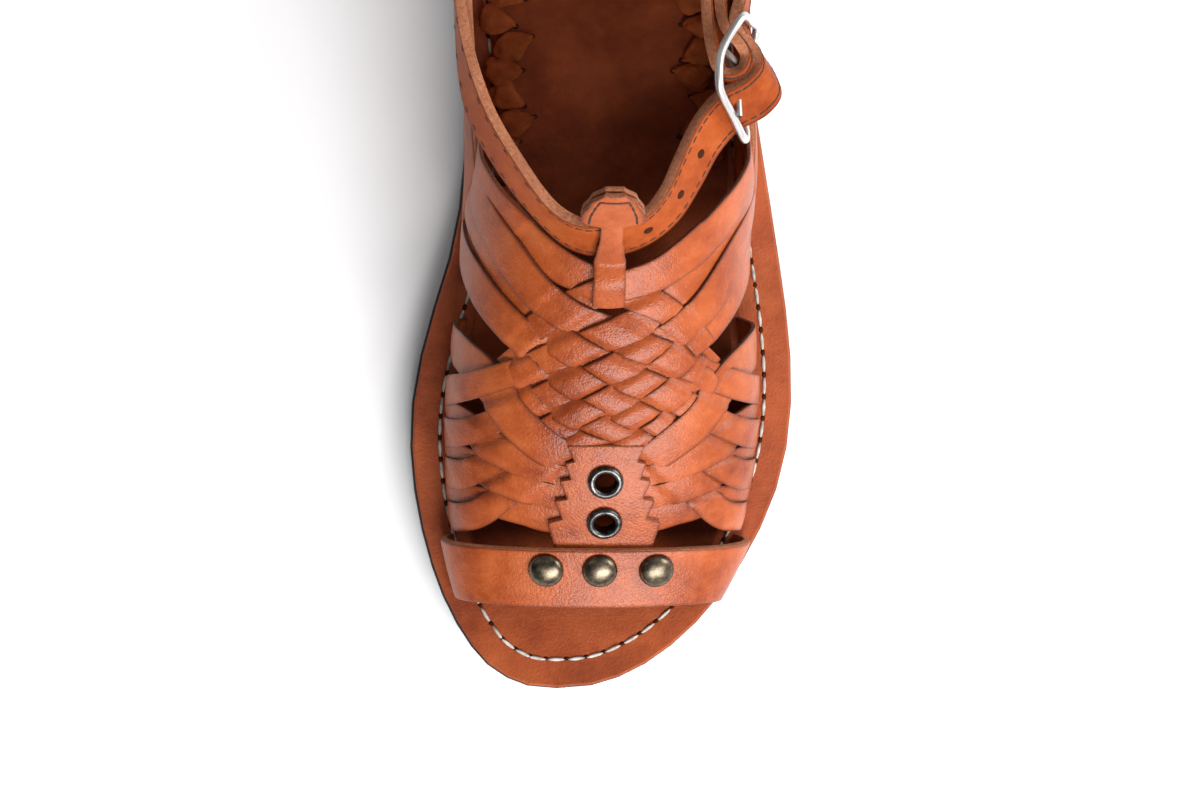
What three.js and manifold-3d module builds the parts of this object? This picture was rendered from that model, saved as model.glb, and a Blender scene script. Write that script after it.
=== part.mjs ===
// Woven leather huarache, left shoe. Millimetres, +Z up, toe towards -Y,
// the big-toe side towards -X, the sole standing on Z = 0.
import * as THREE from 'three';
import { mergeVertices } from 'three/addons/utils/BufferGeometryUtils.js';
import Module from 'manifold-3d';

const wasm = await Module();
wasm.setup();

// Named sizes
const LENGTH = 252; // sole, toe tip to heel
const WIDTH = 101; // sole across the ball
const HEIGHT = 90; // scale for heights in the tables
const GAP = 0.3; // between separate pieces
const BALL = 13; // midsole top above the ground under the ball
const SEAT = 18; // and under the heel
const MIDSOLE = 4.5;
const MIDSOLE_IN = 0.8; // its edge in from the outline
const INSOLE = 1.8;
const INSOLE_IN = 9;
const INSOLE_HEEL = 10.4; // its end in from the heel
const RUBBER_IN = 0.2; // rubber's upper layer in from the outline
const RUBBER_STEP = 2.4; // height of that layer
const TREAD_IN = 1.4; // the tread below it in from the outline
const SOFTEN = 0.6; // rounding of leather and rubber edges
const TOE_SPRING = 5;
const ARCH = 1.5; // rise of the ground face at the waist
const GROOVE_EVERY = 9;
const GROOVE_WIDE = 2;
const GROOVE_DEEP = 1.2;
const STRIP = 1.8; // upper leather
const RISE = 0.8; // how far a strip swings up and down in the weave
const LEVEL = 1.9; // mid level of the weave above the foot
const BAND = 2.1; // toe band leather
const STRAP = 2.6; // two layers of the instep strap
const SLACK = 0.45; // more room round the strap in its tab
const WIRE = 1; // half the buckle wire
const PRONG = 0.9; // half the prong's thickness
const RING = 1; // wall of its ring on the bar
const BUCKLE_PAST = 3; // the bars run on past the strap's edges
const BUCKLE_BOW = 2.6; // its sides bow in over the strap
const STUD = 4.5; // radius
const STUD_HIGH = 2.6;
const SHANK = 1.3; // radius of the stud's shank
const SHANK_DEEP = 2.2;
const EYELET_BORE = 2.7; // radius
const EYELET_WALL = 0.3;
const EYELET_FLANGE = 4.5; // radius
const EYELET_HIGH = 1.1;
const EYELET_DEEP = 2.3;
const TURN = THREE.MathUtils.degToRad(22); // the upper tucks back in below its widest line
const FULL = Math.PI / 2 + TURN;

// Sole outline: along (of LENGTH), big-toe side, little-toe side (of WIDTH)
const OUTLINE = [
  [0.005, -0.216, -0.003],
  [0.026, -0.305, 0.118],
  [0.056, -0.364, 0.218],
  [0.095, -0.416, 0.309],
  [0.153, -0.464, 0.402],
  [0.216, -0.494, 0.467],
  [0.27, -0.501, 0.493],
  [0.321, -0.488, 0.499],
  [0.384, -0.45, 0.488],
  [0.456, -0.396, 0.462],
  [0.531, -0.365, 0.431],
  [0.615, -0.362, 0.396],
  [0.698, -0.384, 0.368],
  [0.774, -0.396, 0.352],
  [0.845, -0.384, 0.349],
  [0.909, -0.332, 0.303],
  [0.956, -0.248, 0.222],
  [0.988, -0.124, 0.099],
];
const TOE_TIP = [0, -0.124];
const HEEL_TIP = [1, -0.015];
const SPRING_TO = 0.139; // the toe spring ends (of LENGTH)
const WAIST = [0.437, 0.675]; // raised ground face
const CLIMB = [0.377, 0.734]; // from ball height to heel height
const GROOVED = [[0.167, 0.413], [0.714, 0.937]]; // tread of forefoot and heel
const INSOLE_FROM = 0.119;

// Foot under the upper: along, widest line on each side (of WIDTH), ridge height (of HEIGHT)
const LAST = [
  [0.056, -0.262, 0.18, 0.089],
  [0.095, -0.322, 0.242, 0.144],
  [0.159, -0.366, 0.322, 0.222],
  [0.198, -0.38, 0.346, 0.283],
  [0.246, -0.386, 0.364, 0.344],
  [0.298, -0.386, 0.37, 0.406],
  [0.337, -0.378, 0.37, 0.45],
  [0.389, -0.362, 0.356, 0.5],
  [0.456, -0.345, 0.343, 0.578],
  [0.54, -0.335, 0.352, 0.689],
  [0.635, -0.34, 0.335, 0.756],
  [0.734, -0.351, 0.322, 0.778],
  [0.833, -0.337, 0.307, 0.789],
];
const HEEL_FROM = 0.813; // where the sides start to round the heel
const HEEL_DEEP = 0.158; // from there to the widest line at the back (of LENGTH)

// Strips of one side, laid from its sole edge towards the other side.
// way: along (of LENGTH), round the foot (-1 own edge, 0 ridge, 1 other edge)
const STRIPS = {
  w: {
    wide: 0.079,
    way: [
      [0.354, -0.33], [0.372, -0.27], [0.393, -0.17], [0.411, -0.02], [0.427, 0.15], [0.454, 0.3],
      [0.488, 0.45], [0.532, 0.62], [0.575, 0.69],
    ],
  },
  y: {
    wide: 0.079,
    way: [
      [0.312, -1], [0.31, -0.78], [0.314, -0.56], [0.327, -0.36], [0.343, -0.21], [0.367, 0],
      [0.395, 0.2], [0.444, 0.38], [0.492, 0.56], [0.53, 0.68], [0.572, 0.77],
    ],
  },
  a: {
    wide: 0.077,
    way: [
      [0.27, -1], [0.267, -0.76], [0.27, -0.54], [0.286, -0.36], [0.308, -0.2], [0.331, -0.01],
      [0.359, 0.17], [0.395, 0.33], [0.452, 0.52], [0.492, 0.68], [0.53, 0.79], [0.57, 0.86],
    ],
  },
  c: {
    wide: 0.077,
    way: [
      [0.232, -1], [0.227, -0.74], [0.228, -0.55], [0.246, -0.37], [0.27, -0.22], [0.298, -0.02],
      [0.329, 0.16], [0.367, 0.32], [0.419, 0.55], [0.468, 0.8], [0.51, 0.88], [0.555, 0.94],
    ],
  },
  e: {
    wide: 0.077,
    way: [
      [0.187, -1], [0.183, -0.74], [0.188, -0.5], [0.21, -0.35], [0.242, -0.2], [0.27, -0.03],
      [0.3, 0.17], [0.331, 0.3], [0.352, 0.365],
    ],
  },
  b: {
    wide: 0.069,
    way: [
      [0.334, -0.352], [0.318, -0.33], [0.3, -0.28], [0.276, -0.19], [0.259, -0.09], [0.248, 0.03],
    ],
  },
  F0: {
    wide: 0.085,
    way: [
      [0.369, -1], [0.357, -0.76], [0.333, -0.52], [0.31, -0.4], [0.282, -0.31], [0.254, -0.19],
      [0.234, -0.09],
    ],
  },
  F1: {
    wide: 0.075,
    way: [
      [0.294, -1], [0.288, -0.76], [0.272, -0.53], [0.254, -0.4], [0.24, -0.28], [0.227, -0.18],
      [0.218, -0.09],
    ],
  },
  F2: {
    wide: 0.073,
    way: [
      [0.252, -1], [0.248, -0.76], [0.238, -0.55], [0.225, -0.4], [0.214, -0.28], [0.203, -0.16],
      [0.198, -0.1],
    ],
  },
  F3: {
    wide: 0.073,
    way: [
      [0.208, -1], [0.204, -0.76], [0.202, -0.53], [0.197, -0.4], [0.19, -0.29], [0.182, -0.18],
      [0.179, -0.12],
    ],
  },
};
const BANDS = ['w', 'y', 'a', 'c', 'e', 'b'];
const SLIPS = ['F0', 'F1', 'F2', 'F3'];

// Tongue with the eyelets: along, half width (of WIDTH)
const TONGUE = [
  [0.137, 0.2], [0.16, 0.15], [0.185, 0.15], [0.1855, 0.1], [0.205, 0.125], [0.2055, 0.092],
  [0.224, 0.112], [0.2245, 0.083], [0.242, 0.096], [0.2425, 0.076], [0.259, 0.092],
];
const EYELETS = [0.184, 0.224]; // along
const EYELET_ACROSS = -0.012;
const STUDS = [-0.148, -0.022, 0.112]; // across, on the toe band
const BAND_FRONT = [0.0965, 0.012]; // along at the middle, and further back at the sides
const BAND_REAR = [0.158, 0.007];
const STUD_ALONG = 0.1375;
const BAND_EASE = 0.2; // more room over the weave
const BAND_DROP = 1.2; // the band's ends come nearer to the foot
const UNDER = 1.02; // pieces run this share round the foot before the floor cuts them

// Top line of the quarters: along, round the foot
const TOP_LINE = [
  [0.53, 0.61], [0.56, 0.64], [0.595, 0.655], [0.694, 0.66], [0.813, 0.65], [1, 0.56],
];
const LEAN = 0.115; // how far its front edge leans forward at the sole (of LENGTH)

// Tab that holds the instep strap: distance past the strap's lower edge
// (of the strap's width), half width (of WIDTH)
const TAB = [
  [-0.75, 0.039], [-0.35, 0.037], [0, 0.036], [0.6, 0.031],
  [1.14, 0.029], [1.3, 0.076], [1.72, 0.072], [2.02, 0.02],
];
const TAB_STRETCH = 1.25; // its foot runs further forward over the weave
const TAB_SHUTS = [1.14, 1.3]; // where its two layers meet above the strap

// Instep strap from its free end forward through the buckle, over the instep,
// round the heel and back to its fold on the buckle's bar.
// top edge: along, across, height; low edge: along, across, height
const STRAP_WAY = [
  [0.826, 0.315, 0.77, 0.825, 0.321, 0.628],
  [0.79, 0.319, 0.786, 0.795, 0.332, 0.645],
  [0.738, 0.313, 0.816, 0.744, 0.33, 0.676],
  [0.69, 0.293, 0.855, 0.695, 0.321, 0.716],
  [0.666, 0.278, 0.873, 0.663, 0.314, 0.736],
  [0.652, 0.294, 0.861, 0.632, 0.352, 0.747],
  [0.641, 0.322, 0.858, 0.614, 0.379, 0.758],
  [0.624, 0.332, 0.863, 0.597, 0.392, 0.762],
  [0.609, 0.301, 0.863, 0.581, 0.364, 0.769],
  [0.595, 0.24, 0.867, 0.564, 0.291, 0.771],
  [0.571, 0.189, 0.867, 0.542, 0.242, 0.766],
  [0.535, 0.145, 0.865, 0.51, 0.198, 0.755],
  [0.501, 0.107, 0.855, 0.476, 0.142, 0.737],
  [0.48, 0.061, 0.841, 0.454, 0.069, 0.719],
  [0.474, -0.009, 0.829, 0.444, -0.02, 0.713],
  [0.471, -0.082, 0.839, 0.451, -0.106, 0.711],
  [0.485, -0.152, 0.855, 0.481, -0.192, 0.721],
  [0.535, -0.246, 0.866, 0.529, -0.285, 0.732],
  [0.591, -0.321, 0.845, 0.584, -0.355, 0.709],
  [0.682, -0.377, 0.798, 0.679, -0.379, 0.656],
  [0.786, -0.364, 0.764, 0.785, -0.37, 0.622],
  [0.881, -0.312, 0.733, 0.885, -0.345, 0.6],
  [0.942, -0.188, 0.733, 0.956, -0.214, 0.6],
  [0.964, 0, 0.733, 0.982, 0, 0.6],
  [0.942, 0.178, 0.739, 0.954, 0.212, 0.606],
  [0.881, 0.271, 0.756, 0.883, 0.311, 0.622],
  [0.794, 0.263, 0.794, 0.796, 0.305, 0.66],
  [0.73, 0.246, 0.833, 0.733, 0.291, 0.693],
  [0.684, 0.242, 0.862, 0.684, 0.291, 0.731],
  [0.659, 0.256, 0.87, 0.651, 0.311, 0.744],
  [0.644, 0.288, 0.872, 0.625, 0.356, 0.766],
  [0.633, 0.303, 0.864, 0.605, 0.372, 0.774],
  [0.621, 0.293, 0.862, 0.591, 0.36, 0.776],
  [0.617, 0.266, 0.86, 0.586, 0.333, 0.778],
  [0.621, 0.238, 0.864, 0.592, 0.303, 0.774],
  [0.635, 0.224, 0.874, 0.615, 0.283, 0.761],
  [0.659, 0.214, 0.87, 0.649, 0.271, 0.746],
  [0.683, 0.21, 0.862, 0.681, 0.259, 0.731],
  [0.722, 0.212, 0.839, 0.722, 0.255, 0.705],
];
const STRAP_UNDER_FRONT_BAR = 9; // rows of STRAP_WAY
const STRAP_UNDER_REAR_BAR = 4;
const STRAP_UNDER_TAB = 14;
const STRAP_FOLD = [30, 34];

// Profiles of the metal pieces: radius and height (of STUD and STUD_HIGH)
const STUD_SHAPE = [[0, 0], [0.98, 0], [1, 0.19], [0.87, 0.54], [0.53, 0.85], [0, 1]];

// Helpers

const mix = THREE.MathUtils.lerp;
const ease = (t) => t * t * (3 - 2 * t);
const clamp = THREE.MathUtils.clamp;
const vec = (x, y, z) => new THREE.Vector3(x, y, z);

// smooth curve through one column of a table
function column(table, k) {
  const slope = table.map((row, i) => {
    const a = table[Math.max(i - 1, 0)];
    const b = table[Math.min(i + 1, table.length - 1)];
    return (b[k] - a[k]) / (b[0] - a[0]);
  });
  return (x) => {
    if (x <= table[0][0]) return table[0][k];
    const i = table.findIndex((row) => row[0] >= x);
    if (i < 0) return table[table.length - 1][k];
    const [p, q] = [table[i - 1], table[i]];
    const d = q[0] - p[0];
    const t = (x - p[0]) / d;
    const rise = q[k] - p[k];
    const bend = (1 - t) * (slope[i - 1] * d - rise) - t * (slope[i] * d - rise);
    return mix(p[k], q[k], t) + t * (1 - t) * bend;
  };
}

function toSolid(points, faces) {
  const flat = new Float32Array(points.flatMap((p) => [p.x, p.y, p.z]));
  let volume = 0;
  for (const [a, b, c] of faces) volume += points[a].dot(points[b].clone().cross(points[c]));
  const tris = new Uint32Array(faces.flatMap(([a, b, c]) => (volume > 0 ? [a, b, c] : [a, c, b])));
  return new wasm.Manifold(new wasm.Mesh({ numProp: 3, vertProperties: flat, triVerts: tris }));
}

function toGeometry(solid) {
  const mesh = solid.getMesh();
  const geometry = new THREE.BufferGeometry();
  geometry.setAttribute('position', new THREE.BufferAttribute(new Float32Array(mesh.vertProperties), 3));
  geometry.setIndex(new THREE.BufferAttribute(new Uint32Array(mesh.triVerts), 1));
  geometry.computeVertexNormals();
  return geometry;
}

// a closed slab round a grid of points, thick across its normals
function sheet(rows, thick, lift = 0) {
  const n = rows.length;
  const m = rows[0].length;
  const points = [];
  const normal = (i, j) => {
    const down = rows[Math.min(i + 1, n - 1)][j].clone().sub(rows[Math.max(i - 1, 0)][j]);
    const over = rows[i][Math.min(j + 1, m - 1)].clone().sub(rows[i][Math.max(j - 1, 0)]);
    return down.cross(over).normalize();
  };
  for (const side of [0.5, -0.5]) {
    for (let i = 0; i < n; i++) {
      for (let j = 0; j < m; j++) {
        const at = typeof lift === 'number' ? lift : lift[i];
        points.push(rows[i][j].clone().addScaledVector(normal(i, j), at + side * thick));
      }
    }
  }
  const id = (side, i, j) => side * n * m + i * m + j;
  const faces = [];
  const quad = (a, b, c, d) => faces.push([a, b, c], [a, c, d]);
  for (let i = 0; i + 1 < n; i++) {
    for (let j = 0; j + 1 < m; j++) {
      quad(id(0, i, j), id(0, i + 1, j), id(0, i + 1, j + 1), id(0, i, j + 1));
      quad(id(1, i, j), id(1, i, j + 1), id(1, i + 1, j + 1), id(1, i + 1, j));
    }
    quad(id(0, i, 0), id(1, i, 0), id(1, i + 1, 0), id(0, i + 1, 0));
    quad(id(0, i, m - 1), id(0, i + 1, m - 1), id(1, i + 1, m - 1), id(1, i, m - 1));
  }
  for (let j = 0; j + 1 < m; j++) {
    quad(id(0, 0, j), id(0, 0, j + 1), id(1, 0, j + 1), id(1, 0, j));
    quad(id(0, n - 1, j), id(1, n - 1, j), id(1, n - 1, j + 1), id(0, n - 1, j + 1));
  }
  return toSolid(points, faces);
}

// a round bar through points
function rod(path, radius, closed = false, steps = 12, sides = 8) {
  const curve = new THREE.CatmullRomCurve3(path, closed, 'centripetal');
  const frames = curve.computeFrenetFrames(steps, closed);
  const points = [];
  const faces = [];
  const rings = closed ? steps : steps + 1;
  for (let i = 0; i < rings; i++) {
    const at = curve.getPointAt(i / steps);
    for (let k = 0; k < sides; k++) {
      const turn = (2 * Math.PI * k) / sides;
      points.push(at.clone().addScaledVector(frames.normals[i], radius * Math.cos(turn))
        .addScaledVector(frames.binormals[i], radius * Math.sin(turn)));
    }
  }
  const id = (i, k) => (i % rings) * sides + (k % sides);
  for (let i = 0; i < steps; i++) {
    for (let k = 0; k < sides; k++) {
      faces.push([id(i, k), id(i, k + 1), id(i + 1, k + 1)], [id(i, k), id(i + 1, k + 1), id(i + 1, k)]);
    }
  }
  if (!closed) {
    for (let k = 1; k + 1 < sides; k++) {
      faces.push([id(0, 0), id(0, k + 1), id(0, k)], [id(steps, 0), id(steps, k), id(steps, k + 1)]);
    }
  }
  return toSolid(points, faces);
}

// a closed three.js shape as a solid, its Y axis turned to an axis and moved to a point
function placed(geometry, at, axis) {
  geometry.deleteAttribute('normal');
  geometry.deleteAttribute('uv');
  const { attributes, index } = mergeVertices(geometry);
  const spin = new THREE.Quaternion().setFromUnitVectors(vec(0, 1, 0), axis);
  const points = [];
  for (let i = 0; i < attributes.position.count; i++) {
    points.push(vec(0, 0, 0).fromBufferAttribute(attributes.position, i).applyQuaternion(spin).add(at));
  }
  const faces = [];
  for (let i = 0; i < index.count; i += 3) {
    const [a, b, c] = [index.getX(i), index.getX(i + 1), index.getX(i + 2)];
    if (a !== b && b !== c && c !== a) faces.push([a, b, c]);
  }
  return toSolid(points, faces);
}

// a turned piece, its profile from axis to axis or closed on itself
function turned(profile, { at, axis }, sides = 16) {
  const outline = profile.map(([r, z]) => new THREE.Vector2(r, z));
  if (profile[0][0] > 0) outline.push(outline[0].clone());
  return placed(new THREE.LatheGeometry(outline, sides), at, axis);
}

// a plain pin or a drill, from one height above a point to another
function pin({ at, axis }, radius, from, to, sides = 12) {
  const shape = new THREE.CylinderGeometry(radius, radius, to - from, sides);
  return placed(shape.translate(0, (from + to) / 2, 0), at, axis);
}

const joined = (solids) => solids.reduce((all, next) => all.add(next));

// Sole

const rim = new THREE.CatmullRomCurve3(
  [TOE_TIP, ...OUTLINE.map(([s, m]) => [s, m]), HEEL_TIP, ...OUTLINE.map(([s, , l]) => [s, l]).reverse()]
    .map(([s, x]) => vec(x * WIDTH, s * LENGTH, 0)), true, 'centripetal',
).getSpacedPoints(240).slice(0, -1);

// the sole's two edges at a distance along, moved in by an inset
function edges(inset) {
  const ring = rim.map((p, i) => {
    const d = rim[(i + 1) % rim.length].clone().sub(rim[(i + rim.length - 1) % rim.length]).normalize();
    return vec(p.x + d.y * inset, p.y - d.x * inset, 0);
  });
  const ends = [Math.min(...ring.map((p) => p.y)), Math.max(...ring.map((p) => p.y))];
  const at = (s) => {
    const cuts = [];
    ring.forEach((p, i) => {
      const q = ring[(i + 1) % ring.length];
      if ((p.y - s) * (q.y - s) <= 0 && p.y !== q.y) cuts.push(mix(p.x, q.x, (s - p.y) / (q.y - p.y)));
    });
    return [Math.min(...cuts), Math.max(...cuts)];
  };
  return { ends, at };
}

// share of the way from one place along the sole to another
const along = (s, [from, to]) => clamp((s / LENGTH - from) / (to - from), 0, 1);
const toeSpring = (s) => TOE_SPRING * (1 - along(s, [0, SPRING_TO])) ** 2;
const ground = (s) => toeSpring(s) + ARCH * Math.sin(Math.PI * along(s, WAIST)) ** 2;
const deck = (s) => toeSpring(s) + mix(BALL, SEAT, ease(along(s, CLIMB)));

// a layer of the sole from rings of [inset, height at a distance along]
function layer(rings, limits = null, count = 30) {
  const points = [];
  const faces = [];
  for (const [inset, height] of rings) {
    const { ends, at } = edges(inset);
    const [from, to] = limits ? [Math.max(ends[0], limits.from), Math.min(ends[1], limits.to)] : ends;
    const rungs = [];
    for (let k = 0; k <= count; k++) {
      const s = mix(from, to, (1 - Math.cos((Math.PI * k) / count)) / 2);
      const inside = clamp(s, from + 0.004, to - 0.004);
      let [m, l] = at(inside);
      if (limits) [m, l] = limits.trim(s, m, l);
      rungs.push([s, m, l, height(s)]);
    }
    const tip = (k) => vec((rungs[k][1] + rungs[k][2]) / 2, rungs[k][0], rungs[k][3]);
    points.push(tip(0), ...rungs.slice(1, -1).map(([s, m, , z]) => vec(m, s, z)), tip(count),
      ...rungs.slice(1, -1).map(([s, , l, z]) => vec(l, s, z)).reverse());
  }
  const loop = 2 * count;
  const id = (r, k) => r * loop + (k % loop);
  for (let r = 0; r + 1 < rings.length; r++) {
    for (let k = 0; k < loop; k++) {
      faces.push([id(r, k), id(r + 1, k + 1), id(r, k + 1)], [id(r, k), id(r + 1, k), id(r + 1, k + 1)]);
    }
  }
  for (const [r, flip] of [[0, false], [rings.length - 1, true]]) {
    const add = (a, b, c) => faces.push(flip ? [a, c, b] : [a, b, c]);
    add(id(r, 0), id(r, 1), id(r, loop - 1));
    for (let k = 1; k + 1 < count; k++) {
      add(id(r, k), id(r, k + 1), id(r, loop - k));
      add(id(r, k + 1), id(r, loop - k - 1), id(r, loop - k));
    }
    add(id(r, count - 1), id(r, count), id(r, count + 1));
  }
  return toSolid(points.map((p) => p.setY(p.y - LENGTH / 2)), faces);
}

const seam = (s) => deck(s) - MIDSOLE - GAP; // top of the rubber
let outsole = layer([
  [TREAD_IN + SOFTEN, ground], [TREAD_IN, (s) => ground(s) + SOFTEN],
  [TREAD_IN, (s) => seam(s) - RUBBER_STEP], [RUBBER_IN, (s) => seam(s) - RUBBER_STEP],
  [RUBBER_IN, (s) => seam(s) - SOFTEN / 2], [RUBBER_IN + SOFTEN / 2, seam],
]);
for (const [from, to] of GROOVED) {
  for (let s = from * LENGTH; s <= to * LENGTH; s += GROOVE_EVERY) {
    const groove = new THREE.BoxGeometry(2 * WIDTH, GROOVE_WIDE, 2 * GROOVE_DEEP);
    outsole = outsole.subtract(placed(groove, vec(0, s - LENGTH / 2, 0), vec(0, 1, 0)));
  }
}

const midsole = layer([
  [MIDSOLE_IN + SOFTEN, (s) => deck(s) - MIDSOLE], [MIDSOLE_IN, (s) => deck(s) - MIDSOLE + SOFTEN],
  [MIDSOLE_IN, (s) => deck(s) - SOFTEN], [MIDSOLE_IN + SOFTEN, deck],
]);

// The foot's surface

const widest = [column(LAST, 1), column(LAST, 2)];
const ridge = column(LAST, 3);

function foot(s) {
  const t = s / LENGTH;
  const [m, l] = [widest[0](t) * WIDTH, widest[1](t) * WIDTH];
  return { middle: (m + l) / 2, half: (l - m) / 2, swell: (ridge(t) * HEIGHT) / (1 + Math.sin(TURN)) };
}

// a point on the foot: distance along, share round it
function skin(s, u) {
  const { middle, half, swell } = foot(s);
  const high = swell * (Math.cos(u * FULL) + Math.sin(TURN));
  return vec(middle + half * Math.sin(u * FULL), s - LENGTH / 2, deck(s) + high);
}

function skinNormal(s, u) {
  const along = skin(s + 0.5, u).sub(skin(s - 0.5, u));
  const round = skin(s, u + 0.005).sub(skin(s, u - 0.005));
  return round.cross(along).normalize();
}

const lifted = (s, u, lift) => skin(s, u).addScaledVector(skinNormal(s, u), lift);
const roundAt = (s, x) => Math.asin((x - foot(s).middle) / foot(s).half) / FULL;

const baseLine = (s) => {
  const { middle, half } = foot(s);
  const base = half * Math.cos(TURN) - 2 * GAP;
  return [middle - base, middle + base];
};
const insole = layer([
  [INSOLE_IN, (s) => deck(s) + GAP],
  [INSOLE_IN, (s) => deck(s) + GAP + INSOLE - SOFTEN / 2],
  [INSOLE_IN + SOFTEN / 2, (s) => deck(s) + GAP + INSOLE],
], {
  from: INSOLE_FROM * LENGTH,
  to: LENGTH - INSOLE_HEEL,
  trim: (s, m, l) => {
    const [a, b] = baseLine(s);
    return s < HEEL_FROM * LENGTH ? [Math.max(m, a), Math.min(l, b)] : [m, l];
  },
});

// The weave

const GIRTH = 0.594 * WIDTH; // about one share round the foot
const TRAIL = 90; // steps along a strip where crossings are looked for
const STATION = 11; // length of strip to one fold of the solid

function layStrip(name, side) {
  const { wide, way } = STRIPS[name];
  const laid = way.map(([s, u]) => vec(s * LENGTH, -side * u * GIRTH, 0));
  const curve = new THREE.CatmullRomCurve3(laid, false, 'centripetal');
  const trail = curve.getSpacedPoints(TRAIL);
  const length = curve.getLength();
  const family = name === 'b' ? side : -side;
  return { name, side, family, wide: wide * WIDTH, curve, trail, length, meets: [] };
}

const strips = [];
for (const side of [-1, 1]) {
  for (const name of [...BANDS, ...SLIPS]) strips.push(layStrip(name, side));
}

// +1 where a lies over b, -1 where it lies under, 0 where they don't weave
function order(a, b) {
  const [i, j] = [BANDS.indexOf(a.name), BANDS.indexOf(b.name)];
  if (i >= 0 && j >= 0) {
    if (a.family === b.family) return 0;
    const even = (i + j) % 2 === 0 ? 1 : -1;
    return a.family < 0 ? -even : even;
  }
  if (i < 0 && j < 0) return 0;
  const [band, slip, sign] = i >= 0 ? [a, b, 1] : [b, a, -1];
  if (band.side !== slip.side) return 0;
  const [own, row] = [BANDS.indexOf(band.name) - 1, SLIPS.indexOf(slip.name)];
  if (own < 0 || own > 3) return 0;
  return own === row ? sign : -sign;
}

function crossing(a, b) {
  for (let i = 0; i + 1 < a.trail.length; i++) {
    const [p, q] = [a.trail[i], a.trail[i + 1]];
    for (let j = 0; j + 1 < b.trail.length; j++) {
      const [r, t] = [b.trail[j], b.trail[j + 1]];
      const d = (q.x - p.x) * (t.y - r.y) - (q.y - p.y) * (t.x - r.x);
      if (Math.abs(d) < 1e-9) continue;
      const k = ((r.x - p.x) * (t.y - r.y) - (r.y - p.y) * (t.x - r.x)) / d;
      const l = ((r.x - p.x) * (q.y - p.y) - (r.y - p.y) * (q.x - p.x)) / d;
      if (k >= 0 && k <= 1 && l >= 0 && l <= 1) return [(i + k) / TRAIL, (j + l) / TRAIL];
    }
  }
  return null;
}

strips.forEach((a, i) => strips.slice(i + 1).forEach((b) => {
  const sign = order(a, b);
  const at = sign && crossing(a, b);
  if (!at) return;
  const [p, q] = [a.curve.getTangentAt(at[0]), b.curve.getTangentAt(at[1])];
  const slant = p.dot(q) / (p.x * q.y - p.y * q.x);
  a.meets.push([at[0], sign, slant]);
  b.meets.push([at[1], -sign, -slant]);
}));

function ribbon(strip) {
  const ends = strip.name === 'b' ? [-1, -1] : [0, SLIPS.includes(strip.name) ? -1 : 0.5];
  const stops = [...strip.meets].sort((p, q) => p[0] - q[0]);
  if (stops[0][0] > 0.04) stops.unshift([0, ends[0], stops[0][2]]);
  const final = stops[stops.length - 1];
  if (final[0] < 0.96) stops.push([1, ends[1], final[2]]);
  // level on top or underneath, or slant of the strips that cross, at a share of the length
  const between = (t, k, shape) => {
    const i = stops.findIndex((stop) => stop[0] >= t);
    if (i <= 0) return stops[i < 0 ? stops.length - 1 : 0][k];
    const [p, q] = [stops[i - 1], stops[i]];
    return mix(p[k], q[k], shape((t - p[0]) / (q[0] - p[0])));
  };
  const stations = [0];
  for (const [t] of [...stops, [1]]) {
    const last = stations[stations.length - 1];
    const parts = Math.round(((t - last) * strip.length) / STATION);
    for (let k = 1; k <= parts; k++) stations.push(mix(last, t, k / parts));
  }
  if (stations[stations.length - 1] < 1) stations[stations.length - 1] = 1;
  const rows = stations.map((t) => {
    const at = strip.curve.getPointAt(t);
    const [s, u] = [at.x, at.y / GIRTH];
    const step = strip.curve.getTangentAt(t);
    const normal = skinNormal(s, u);
    const ahead = skin(s + step.x * 0.2, u + (step.y / GIRTH) * 0.2).sub(skin(s, u)).normalize();
    const across = normal.clone().cross(ahead).normalize();
    const perAlong = skin(s + 0.5, u).sub(skin(s - 0.5, u));
    const perRound = skin(s, u + 0.005).sub(skin(s, u - 0.005)).multiplyScalar(100);
    const slant = between(t, 2, (part) => part);
    return [-0.5, 0.5].map((half) => {
      const aside = half * strip.wide;
      const lift = LEVEL + RISE * between(t + (aside * slant) / strip.length, 1, ease);
      const move = across.clone().multiplyScalar(aside);
      const ds = move.dot(perAlong) / perAlong.lengthSq();
      const du = move.dot(perRound) / perRound.lengthSq();
      return lifted(s + ds, clamp(u + du, -UNDER, UNDER), lift);
    });
  });
  return sheet(rows, STRIP);
}

const tongueRows = TONGUE.map(([t, half]) => {
  const s = t * LENGTH;
  return [-1, -0.5, 0, 0.5, 1].map((k) => {
    const x = EYELET_ACROSS * WIDTH + k * half * WIDTH;
    return lifted(s, roundAt(s, x), LEVEL + RISE);
  });
});
const tongue = sheet(tongueRows, STRIP);

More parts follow.
